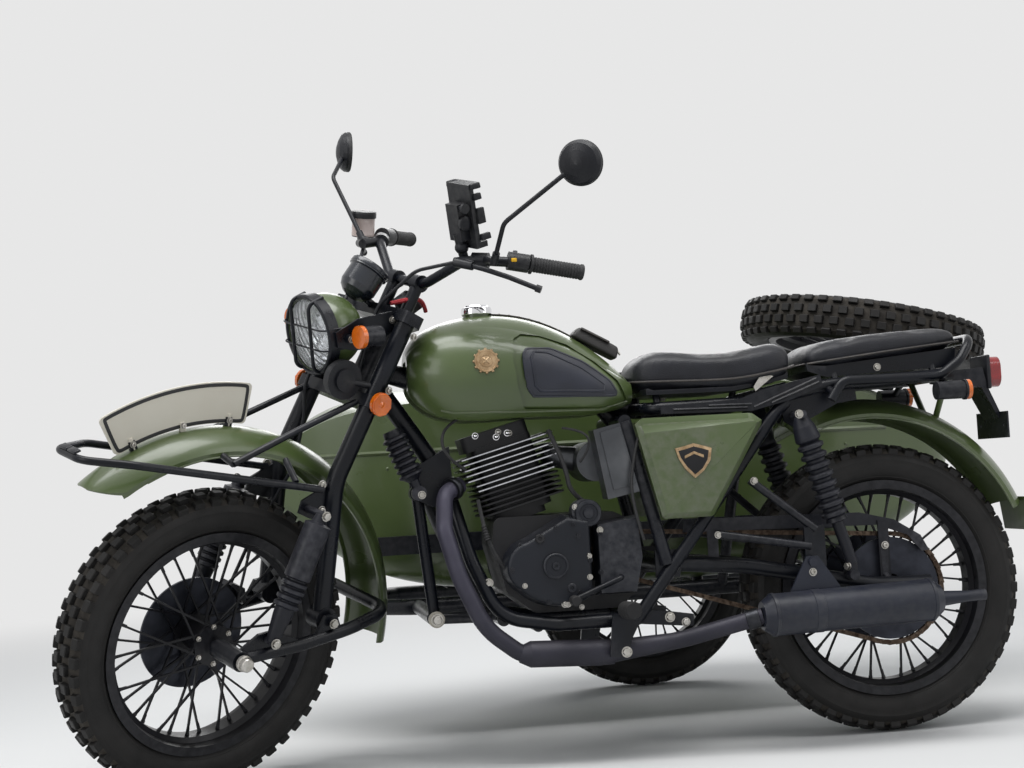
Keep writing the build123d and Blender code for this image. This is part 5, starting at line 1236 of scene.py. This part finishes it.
def cut_plate(name, outline, y, thick, rounding=0.0):
    """A plate cut to an outline of (x, z) in millimetres, its outer face at y, built inwards."""
    piece = drawn(name, [spot(x, y, z) for x, z in outline])
    bpy.ops.mesh.edge_face_add()
    inwards = (0, thick / 1000 * (-1 if y > 0 else 1), 0)
    bpy.ops.mesh.extrude_region_move(TRANSFORM_OT_translate={"value": inwards})
    bpy.ops.mesh.select_all(action="SELECT")
    bpy.ops.mesh.normals_make_consistent(inside=False)
    if rounding:
        bpy.ops.mesh.bevel(offset=rounding / 1000, segments=2, affect="EDGES")
    bpy.ops.object.mode_set(mode="OBJECT")
    return piece


canister = finish(
    "canister", (0.055, 0.058, 0.064), (0.13, 0.135, 0.145), (0.3, 0.45), metal=0.6, patch=9, grain=700,
    depth=0.0002, dust=0.05,
)
dress(canister, "airbox")
lid = cut_plate("airbox_rib", [(876, 700), (921, 711), (950, 586), (899, 575)], -127, 4, 1.4)
fit_out(lid, "chassis", "shock_black", canister)

# Exhaust: a bent steel header, purple-grey with heat and darker below, into a black silencer with
# rolled seams. A clamp ring holds the header to the head, and a strap hangs the silencer.
exhaust_dark = bpy.data.materials.new("exhaust_dark")
exhaust_dark.use_nodes = True
tree = exhaust_dark.node_tree
shader = tree.nodes["Principled BSDF"]
place = tree.nodes.new("ShaderNodeTexCoord")
parts = tree.nodes.new("ShaderNodeSeparateXYZ")
tree.links.new(place.outputs["Object"], parts.inputs[0])
rise = tree.nodes.new("ShaderNodeMapRange")
rise.inputs["From Min"].default_value = 0.22
rise.inputs["From Max"].default_value = 0.62
tree.links.new(parts.outputs["Z"], rise.inputs["Value"])
heat = tones(tree, rise.outputs["Result"], [(0.0, (0.02, 0.02, 0.031)), (1.0, (0.07, 0.066, 0.1))])
mottle = tones(tree, noise(tree, 13, 7), [(0.3, (0.55, 0.55, 0.6)), (0.7, (1.1, 1.08, 1.05))])
mixed = tree.nodes.new("ShaderNodeMix")
mixed.data_type = "RGBA"
mixed.blend_type = "MULTIPLY"
mixed.inputs["Factor"].default_value = 1.0
tree.links.new(heat, mixed.inputs["A"])
tree.links.new(mottle, mixed.inputs["B"])
tree.links.new(
    blended(tree, settled_dust(tree, 0.08), mixed.outputs["Result"], dust_tone), shader.inputs["Base Color"]
)
tree.links.new(drift(tree, noise(tree, 30, 5), 0.42, 0.6), shader.inputs["Roughness"])
tree.links.new(relief(tree, noise(tree, 500, 4), 0.0004), shader.inputs["Normal"])
shader.inputs["Metallic"].default_value = 0.35
dress(exhaust_dark, "exhaust_header")
silencer_black = finish(
    "silencer_black", (0.009, 0.011, 0.02), (
        0.016, 0.019, 0.031
    ), (0.3, 0.42), dust=0.03, bare=(0.08, 0.08, 0.08), shine=0.35
)
dress(silencer_black, "silencer")
muffler_from, muffler_to = spot(1190, -192, 291), spot(1590, -192, 301)
muffler_run = (muffler_to - muffler_from).normalized()
seam = [(44.6, -4), (46.4, -3), (46.6, 3), (44.6, 4)]
for name, along_it, outline in (
    ("silencer_seam_front", 0.024, seam),
    ("silencer_seam_rear", 0.376, seam),
    ("silencer_band", 0.12, [(44.8, -11), (46.2, -10), (46.2, 10), (44.8, 11)]),
):
    piece = put(lathe(name, outline, 48), muffler_from + muffler_run * along_it, muffler_run)
    fit_out(piece, "chassis", "exhaust_black", silencer_black)
flange = put(
    lathe("header_flange", [(18, -7), (24, -7), (25, -5), (25, 5), (24, 7), (18, 7)], 30),
    spot(560, -68, 598), Vector((38, 32, 16)),
)
fit_out(flange, "chassis", "exhaust_black", dark_steel)
sleeve = put(
    lathe("silencer_clamp", [(18.3, -14), (21.5, -13), (21.5, 13), (18.3, 14)], 30), spot(1172, -187, 285.5),
    Vector((162, -46, 41)),
)
fit_out(sleeve, "chassis", "exhaust_black", dark_steel)

# Pouch of thick black leather at the tank's rear end, sagging on to the tank. A stiff flap closes
# it, with a zinc-plated buckle tongue.


def lean(piece, at, degrees):
    """Turns a piece about Y and moves it to its place."""
    piece.data.transform(Matrix.Translation(at) @ Matrix.Rotation(radians(degrees), 4, "Y"))


pouch = box_block("tank_pouch", (118, 62, 30), (0, 0, 0), 0.86, 9, 3)
lean(pouch, spot(902, 0, 903), 30)
for vertex in pouch.data.vertices:
    # The pouch sags on to the tank's falling top
    hit = meet("fuel_tank", vertex.co + Vector((0, 0, 0.2)), (0, 0, -1))
    if hit:
        vertex.co.z = max(vertex.co.z, hit[0].z + 0.001)
only(pouch)
shaped(pouch, "SUBSURF", levels=2, render_levels=2)
fit_out(pouch, "chassis", "seat_leather", strap_leather, smooth=60)
flap = box_block("pouch_flap", (74, 66, 5), (0, 0, 0), 0.95, 2, 2)
lean(flap, spot(899, 0, 919), 29)
fit_out(flap, "chassis", "seat_leather", strap_leather, smooth=50)
tongue = box_block("pouch_tongue", (26, 12, 3), (0, 0, 0), 0.8, 0.8, 2)
lean(tongue, spot(950, -12, 884), 58)
fit_out(tongue, "chassis", "disc_steel", zinc)

# Side covers: pressed triangular panels in olive paint. A crease runs under the top edge, the rim
# turns in all round, and a blank shield with a gilt border is fixed to the outside.
cover_outline = [
    (949, 712), (954, 718), (966, 725.5), (1200, 725.5), (1210, 724), (1230, 709), (1229, 700), (1111, 510),
    (1104, 507.5), (1004, 507.5), (997, 512),
]
covers = []
for side in (-1, 1):
    cover = drawn("side_cover", [spot(x, side * 139, z) for x, z in cover_outline])
    bpy.ops.mesh.edge_face_add()
    bpy.ops.mesh.extrude_region_move(TRANSFORM_OT_translate={"value": (0, side * 0.011, 0)})
    bpy.ops.mesh.inset(thickness=0.012, depth=0)
    bpy.ops.transform.translate(value=(0, side * 0.0095, 0))
    # The crease parts the face, and the strip above it leans in to the seat
    crease_at = spot(1090, side * 160, 700)
    bpy.ops.mesh.bisect(plane_co=crease_at, plane_no=(-0.06, 0, 1))
    bpy.ops.object.mode_set(mode="OBJECT")
    for vertex in cover.data.vertices:
        rise = (vertex.co - crease_at).dot(Vector((-0.06, 0, 1)))
        if abs(vertex.co.y - crease_at.y) < 0.003 and rise > 0.002:
            vertex.co.y -= side * min(0.0095, rise * 0.6)
    face_outwards()
    shaped(
        cover, "BEVEL", width=0.0028, segments=3, limit_method="ANGLE", angle_limit=radians(12)
    )
    covers.append(cover)
pair = join("side_cover_pair", covers)
fit_out(pair, "chassis", "olive_paint", olive, smooth=40)
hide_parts("side_covers")
shield_outline = [
    (1030, 657), (1049, 660), (1071, 666), (1092, 660), (1111, 654), (1107, 628), (1092, 607), (1071, 591),
    (1049, 613), (1036, 636),
]
field_outline = [
    (1037, 651), (1052, 654), (1071, 659), (1090, 654), (1104, 649), (1100, 629), (1088, 611), (1071, 599),
    (1054, 617), (1042, 636),
]
for side in (-1, 1):
    shield = cut_plate("shield_" + hands[side], shield_outline, side * 163.4, 4.4, 0.8)
    fit_out(shield, "chassis", "olive_paint", gilt)
    field = cut_plate("shield_field_" + hands[side], field_outline, side * 164.0, 2.4, 0.5)
    fit_out(field, "chassis", "olive_paint", badge_black)
    chevron = cut_plate(
        "shield_chevron_" + hands[side], [
            (1050, 640), (1071, 649), (1092, 640), (1092, 634), (1071, 643), (1050, 634)
        ], side * 164.8, 2.4, 0.3
    )
    fit_out(chevron, "chassis", "olive_paint", gilt)
    # Ribs that fan over the covers of the seat rails
    for index, (x, z, next_x, next_z) in enumerate(
        ((1222, 738, 1366, 794), (1262, 745, 1372, 786), (1040, 741, 1206, 738), (1120, 746, 1216, 745))
    ):
        rib = rod(
            "rail_rib",
            [
                spot(x, side * 130, z), spot((x + next_x) / 2, side * 130.6, (z + next_z) / 2),
                spot(next_x, side * 130, next_z),
            ],
            0.0032, 8,
        )
        rib.name = "rail_rib_{}_{}".format(hands[side], index)
        fit_out(rib, "chassis", "black_paint", frame_black)
bracket = cut_plate(
    "saddle_bracket", [(1226, 772), (1268, 803), (1262, 806), (1236, 802), (1222, 782)], -133, 3, 0.6
)
fit_out(bracket, "chassis", "disc_steel", zinc)

# Drive chain: roller chain, oiled and lightly rusted. One link of two side plates and a roller is
# made, and its copies follow the belt round both sprockets.
chain_rust = finish(
    "chain_rust", (0.05, 0.032, 0.022), (0.13, 0.095, 0.07), (0.42, 0.65), metal=0.8, patch=90, grain=900
)
front_sprocket, front_radius = Vector((905, 440)), 45.5
rear_sprocket, rear_radius = Vector((1527, 322)), 120.5
gap = rear_sprocket - front_sprocket
tilt = -asin((rear_radius - front_radius) / gap.length)
lay = gap.normalized()
normal_up = Vector((-lay.y, lay.x))
turn_up = Matrix.Rotation(-tilt, 2)
upper = turn_up @ normal_up
lower_normal = Matrix.Rotation(tilt, 2) @ -normal_up
top_run = (front_sprocket + upper * front_radius, rear_sprocket + upper * rear_radius)
low_run = (rear_sprocket + lower_normal * rear_radius, front_sprocket + lower_normal * front_radius)


def round_sprocket(middle, start, end, radius):
    """Points round a sprocket, clockwise from one direction to another."""
    sweep = start.angle_signed(end) % (2 * pi)
    return [middle + radius * (Matrix.Rotation(-sweep * n / 40, 2) @ start) for n in range(41)]


path = [top_run[0].lerp(top_run[1], n / 60) for n in range(61)]
path += round_sprocket(rear_sprocket, upper, lower_normal, rear_radius)[1:]
path += [low_run[0].lerp(low_run[1], n / 60) for n in range(1, 61)]
path += round_sprocket(front_sprocket, lower_normal, upper, front_radius)[1:]
lengths = [(b - a).length for a, b in zip(path, path[1:])]
chain_pitch, chain_side = 15.875, -67.5
links = round(sum(lengths) / chain_pitch / 2) * 2
pitch = sum(lengths) / links
plate_form = box_block("link_plate", (23, 1.6, 10), (0, 0, 0), 1.0, 0.6)
roller_form = lathe(
    "roller",
    [(0, -6.4), (2.6, -6.4), (2.6, -3.2), (4.6, -3.2), (4.6, 3.2), (2.6, 3.2), (2.6, 6.4), (0, 6.4)], 8,
)
roller_form.data.transform(Matrix.Rotation(pi / 2, 4, "X"))
chain_links = []
travelled, index = 0.0, 0
for start, end, length in zip(path, path[1:], lengths):
    while index < links and index * pitch <= travelled + length:
        share = (index * pitch - travelled) / length
        at = start.lerp(end, share)
        along_it = (end - start).normalized()
        slope = Vector((1, 0)).angle_signed(along_it)
        home = Matrix.Translation(spot(at.x, chain_side, at.y)) @ Matrix.Rotation(slope, 4, "Y")
        wide = 3.9 if index % 2 else 5.6
        for offset in (-wide, wide):
            piece = twin(plate_form, "link")
            piece.data.transform(home @ Matrix.Translation((pitch / 2000, offset / 1000, 0)))
            chain_links.append(piece)
        piece = twin(roller_form, "link")
        piece.data.transform(home)
        chain_links.append(piece)
        index += 1
    travelled += length
scrap(plate_form, roller_form)
chain = join("roller_chain", chain_links)
fit_out(chain, "chassis", "chain_steel", chain_rust)
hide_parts("drive_chain")

# Tail: a red plastic lamp with five moulded bars, in a black tray, and two orange signals, each in
# a black plastic ring.
red_lens = finish(
    "red_lens", (0.2, 0.004, 0.006), (0.34, 0.008, 0.01), (0.08, 0.18), patch=20, grain=200, depth=0.0006,
    coat=0.7,
)
dress(red_lens, "tail_lamp")
lamp_low, lamp_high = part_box("tail_lamp")
lamp_middle = (lamp_low + lamp_high) / 2
bar_count, bar_pitch = 5, 0.011
for index in range(bar_count):
    bar_form = box_block("lamp_bar", (4, 78, 2.2), (0, 0, 0), 0.9, 0.8)
    bar_form.data.transform(
        Matrix.Translation(
            Vector((lamp_high.x, lamp_middle.y, lamp_low.z + 0.013 + index * bar_pitch))
        ) @ Matrix.Rotation(pi / 2, 4, "Y") @ Matrix.Translation((0, 0, 0.0006))
    )
    bar_form.name = "tail_lamp_bar_{}".format(index)
    fit_out(bar_form, "chassis", "red_lens", red_lens)
tray = box_block("lamp_tray", (10, 92, 78), (0, 0, 0), 1.0, 3.5, 3)
tray.data.transform(Matrix.Translation(Vector((lamp_low.x + 0.003, lamp_middle.y, lamp_middle.z))))
fit_out(tray, "chassis", "satin_plastic", control_black)
for side in (-1, 1):
    ring_form = lathe("signal_ring", [(20, -2), (22.6, -1.6), (22.8, 3), (21, 4), (20, 3.4)], 32)
    put(ring_form, spot(1690, side * 168, 752), (1, 0, 0))
    ring_form.name = "rear_signal_ring_" + hands[side]
    fit_out(ring_form, "chassis", "satin_plastic", control_black)

# Sidecar body: a steel tub in olive paint. Rubber beading trims the cockpit's edge, a black strip down the
# tail's side is painted shadow of the gap before the sidecar's mudguard, and a raised moulding follows the
# belt line.
# Black rubber for the trim, also the colour of the painted shadow strip down the tub's tail.
rubber_trim_and_shadow = finish(
    "rubber_trim_and_shadow", (0.008, 0.008, 0.009), (0.016, 0.016, 0.017), (0.5, 0.68), patch=14, grain=500,
    depth=0.0004, dust=0.06, shine=0.3,
)


def on_top(x, y, node, lift=0.0):
    """The spot on top of a solid, from above."""
    hit = meet(node, spot(x, y, 1400), (0, 0, -1))
    return hit[0] + Vector((0, 0, lift)) if hit else spot(x, y, 800)


tub_middle = 615
cockpit = []
for middle_x, middle_y, from_deg in ((1160, 710, 0), (820, 710, 90), (820, 520, 180), (1160, 520, 270)):
    for step in range(7):
        turn = radians(from_deg + 15 * step)
        cockpit.append((middle_x + 136 * cos(turn), middle_y + 136 * sin(turn)))
beading = rod(
    "cockpit_beading", [on_top(x, y, "sidecar_tub", 0.002) for x, y in cockpit], 0.009, 12, closed=True
)
fit_out(beading, "chassis", "black_paint", rubber_trim_and_shadow)
# A black strip down the tub's tail, painted shadow in the dark gap before the sidecar's mudguard.
gap_shadow_line = [(1690, 743), (1726, 728), (1762, 712), (1796, 695), (1827, 676), (1856, 657), (1884, 636)]
gap_shadow_strip = rod("tail_gap_shadow", cling(gap_shadow_line, "sidecar_tub", -1, 0.002), 0.009, 10)
fit_out(gap_shadow_strip, "chassis", "black_paint", rubber_trim_and_shadow)
for side in (-1, 1):
    belt = []
    for x in range(300, 1800, 75):
        hit = meet("sidecar_tub", spot(x, tub_middle + side * 500, 690), (0, -side, 0))
        if hit:
            belt.append(hit[0] - Vector((0, side * 0.0025, 0)))
    moulding = rod("belt_moulding_" + hands[side], belt, 0.007, 12)
    fit_out(moulding, "chassis", "olive_paint", olive)
    # A row of flat-headed rivets holds the side panel under the moulding
    rivets = []
    rivet = lathe("rivet", [(4.2, -1), (4, 0.8), (2.4, 1.9), (0, 2.2)], 10)
    for x in range(340, 1720, 115):
        hit = meet("sidecar_tub", spot(x, tub_middle + side * 500, 652), (0, -side, 0))
        if hit:
            rivets.append(put(twin(rivet, "rivet"), *hit))
    scrap(rivet)
    fit_out(join("tub_rivets_" + hands[side], rivets), "chassis", "olive_paint", olive)

# Passenger's seat: a padded leather squab and back, each with sewn channels, on a boxed frame, over
# a ribbed rubber mat on the tub's floor.
squab_sections = [
    (960, 448, 492, 196, 1.0),
    (972, 446, 503, 205, 1.15),
    (1010, 445, 512, 209, 1.24),
    (1100, 445, 507, 210, 1.26),
    (1190, 445, 498, 208, 1.24),
    (1216, 446, 490, 202, 1.1),
    (1226, 450, 480, 194, 1.0),
]
squab = stuffed(padded_form("passenger_squab", squab_sections, tub_middle), 0.009, 0.009)
back_sections = [
    (450, 1238, 1322, 192, 1.0),
    (462, 1238, 1324, 204, 1.15),
    (520, 1245, 1325, 209, 1.24),
    (620, 1264, 1325, 210, 1.26),
    (720, 1284, 1325, 208, 1.24),
    (770, 1296, 1325, 202, 1.1),
    (784, 1302, 1322, 192, 1.0),
]
back = padded_form("passenger_back", back_sections, tub_middle)
# The back is drawn lying down, then its length is stood up along Z
for vertex in back.data.vertices:
    local = (vertex.co - nose) * 1000
    vertex.co = spot(local.z, local.y, local.x)
only(back)
face_outwards()
back = stuffed(back, 0.009, 0.009)
# Sewn channels are pressed into both, running fore and aft and up
for piece, top_only in ((squab, True), (back, False)):
    for vertex in piece.data.vertices:
        local = (vertex.co - nose) * 1000
        groove = max(0.0, 1 - abs(((local.y - tub_middle + 35) % 70) - 35) / 7) ** 2
        if top_only and local.z > 490:
            vertex.co.z -= 0.005 * groove
        if not top_only and local.x < 1244 + (local.z - 440) * 0.2:
            vertex.co.x += 0.005 * groove
    piece.data.update()
    fit_out(piece, "chassis", "seat_leather", leather, smooth=60)
    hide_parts("sidecar_seat")
mat_blocks = [box_block("mat", (360, 380, 4), (0, 0, 0), 1.0, 1)]
mat_ribs, mat_pitch = 17, 22
for index in range(mat_ribs):
    mat_blocks.append(box_block("mat_rib", (346, 5, 3), (0, (index - mat_ribs // 2) * mat_pitch, 3.2), 0.9))
mat = join("floor_mat", mat_blocks)
mat.data.transform(Matrix.Translation(spot(770, tub_middle, 354.6)))
fit_out(mat, "chassis", "grip_rubber", rubber_trim_and_shadow)

# Spare wheel's fixing: a zinc-plated wing nut whose broad foot presses on the hub. It is turned,
# with a block for its two wings, and leans with the wheel.
spare_turn = Vector((sin(spare_tilt), 0, cos(spare_tilt)))
wing = box_block("wing", (58, 8, 15), (0, 0, 10), 1.15, 2.5, 2)
nut = lathe("nut", [(22, 0), (22.5, 3), (13, 4), (12, 20), (0, 21)], 24)
spare_nut = put(join("spare_wing_nut", [nut, wing]), spare_middle + spare_turn * 0.0602, spare_turn)
fit_out(spare_nut, "chassis", "disc_steel", zinc)

# Feet: ribbed rubber sleeves on the pegs and a rubber tip on the gear lever. A pale nylon bush with
# a zinc-plated pin and stem stands where the front arm of the sidecar meets the frame.
peg_outline = [(14.6, 0), (17.2, 1)]
peg_ribs, peg_pitch = 9, 8.4
for rib in range(peg_ribs):
    low = 4 + rib * peg_pitch
    peg_outline += [(16.4, low), (18.6, low + 1.6), (18.6, low + 5.4), (16.4, low + 7)]
peg_outline += [(17.4, 81), (16, 83.4), (0, 83.6)]
for side in (-1, 1):
    sleeve = put(
        lathe("peg_sleeve_" + hands[side], peg_outline, 24), spot(900, side * 168, 322.4),
        Vector((0, side * 88, 4)),
    )
    fit_out(sleeve, "chassis", "grip_rubber", rubber_trim_and_shadow)
toe = put(
    lathe(
        "toe_rubber",
        [
            (8.6, -1), (11, 0), (11, 6), (10, 7), (11, 8), (11, 14), (10, 15), (11, 16), (11, 26), (9, 28),
            (0, 28.4),
        ],
        20,
    ),
    spot(792, -163, 349), (0, -1, 0),
)
fit_out(toe, "chassis", "grip_rubber", rubber_trim_and_shadow)
nylon = finish(
    "pale_nylon", (0.34, 0.31, 0.26), (0.52, 0.49, 0.43), (0.4, 0.55), patch=40, grain=300, depth=0.0003
)
bush = put(
    lathe("arm_bush", [(8, -10), (15, -9), (17.5, -6), (17.5, 6), (15, 9), (8, 10)], 28), spot(512, -38, 318),
    (0, 1, 0),
)
fit_out(bush, "chassis", "black_paint", nylon)
pin = put(twin(hex_bolt, "arm_pin"), spot(512, -50, 318), (0, -1, 0), size=1.4)
fit_out(pin, "chassis", "disc_steel", zinc)
stem = put(lathe("arm_pin_stem", [(0, 0), (8, 0), (8, 26), (0, 26)], 16), spot(512, -51, 318), (0, 1, 0))
fit_out(stem, "chassis", "disc_steel", zinc)

# Small parts of the engine by the photograph: bright screws in the casings, a ribbed boot on the
# cable at the front, a breather hose behind the cylinder, and the plug's lead.


def across(px, py, y):
    """The spot on an upright plane along the machine, y millimetres right of its middle, at a pixel."""
    line = sight_line(px, py)
    return camera.location + line * ((nose.y + y / 1000 - camera.location.y) / line.y)


for px, py, kind, size, nodes in (
    (575, 507, "cap", 0.7, casings),
    (600, 530, "cap", 0.75, casings),
    (589, 556, "cap", 0.65, casings),
    (590, 577, "cap", 0.65, casings),
    (568, 604, "cap", 0.75, casings),
    (582, 607, "cap", 0.6, casings),
    (525, 586, "cap", 0.6, casings),
    (498, 432, "dome", 0.75, ("engine_cylinder",)),
    (509, 433, "dome", 0.75, ("engine_cylinder",)),
):
    place, _ = touch(px, py, *nodes)
    bolt = put(twin(kinds[kind], "case_{}_{}_{}".format(kind, px, py)), place, (0, -1, 0), size=size)
    fit_out(bolt, "chassis", "disc_steel", zinc)
# Hoses and leads: (name, route of (px, py, to the right), radius)
for name, route, radius in (
    (
        "plug_lead", ((466, 470, -84), (452, 462, -96), (440, 444, -96), (446, 424, -80), (470, 412, -60)),
        0.0035,
    ),
    (
        "breather_hose",
        ((548, 430, -100), (556, 446, -112), (566, 470, -112), (570, 492, -108), (582, 500, -100)), 0.005,
    ),
    ("carburettor_cable", ((562, 428, -110), (584, 430, -128), (592, 446, -122), (580, 462, -106)), 0.003),
    ("loom", ((640, 430, -132), (630, 470, -136), (634, 510, -140), (644, 540, -146)), 0.0035),
    ("clutch_cable_low", ((478, 500, -96), (484, 530, -112), (496, 558, -118), (508, 572, -110)), 0.0045),
):
    piece = rod(name, [across(*step) for step in route], radius, 10)
    fit_out(piece, "chassis", "grip_rubber", grip_rubber)
boot_outline = [(4, 0)]
for rib in range(6):
    boot_outline += [(8.5 - rib * 0.5, 2 + rib * 6), (6 - rib * 0.4, 5 + rib * 6)]
boot = put(
    lathe("cable_boot", boot_outline + [(3.5, 38)], 16), across(488, 541, -116),
    across(478, 506, -100) - across(488, 541, -116),
)
fit_out(boot, "chassis", "grip_rubber", grip_rubber)

# Handlebar fittings: the phone holder's jaws, knobs and ball joint, a box with a ring at the lock,
# and a switch button. All are moulded black plastic except the button, which is yellow.
holder = [
    put(
        lathe("knob", [(15, 0), (16, 1.5), (16, 9), (13, 11), (6, 11.5), (0, 11.5)], 14),
        spot(504, -174, 1204), (0, -1, 0),
    ),
    put(
        lathe("ball", [(0, -15), (9, -12), (14, -6), (15, 0), (14, 6), (9, 12), (0, 15)], 20),
        spot(516, -156, 1150), (0, 0, 1),
    ),
    put(
        lathe("jaw_screw", [(5, 0), (5, 14), (11, 14.5), (11, 21), (0, 21.5)], 14), spot(492, -172, 1236),
        (0, -1, 0),
    ),
]
for x, z, wide, high in ((549, 1178, 26, 14), (533, 1222, 20, 34), (520, 1262, 20, 14), (513, 1284, 26, 12)):
    for y in (-193, -115):
        pad = box_block("pad", (wide, 11, high), (0, 0, 0), 0.9, 2, 2)
        lean(pad, spot(x, y, z), -14)
        holder.append(pad)
clamp_parts = join("holder_fittings", holder)
fit_front(clamp_parts, "satin_plastic", control_black)
lock_box = box_block("lock_box", (46, 40, 44), (0, 0, 0), 0.9, 4, 2)
lean(lock_box, spot(493, 0, 1008), -30)
lock_ring = put(
    lathe("lock_ring", [(15, 0), (15, 4), (12, 6), (9, 6), (8.5, 3), (0, 3)], 24), spot(503, 0, 1026),
    (0.5, 0, 0.87),
)
lock_parts = join("lock_fittings", [lock_box, lock_ring])
fit_front(lock_parts, "satin_plastic", control_black)
yellow = finish("switch_yellow", (0.75, 0.4, 0.01), (0.85, 0.5, 0.02), (0.3, 0.45))
place, _ = touch(514, 260, "bar_controls")
button = put(box_block("switch_yellow", (13, 9, 6), (0, 0, 0), 0.85, 1.5, 2), place, (0, -1, 0))
fit_out(button, "steering", "satin_plastic", yellow)

scrap(hex_bolt, cap_bolt, dome_nut, axle_cap)
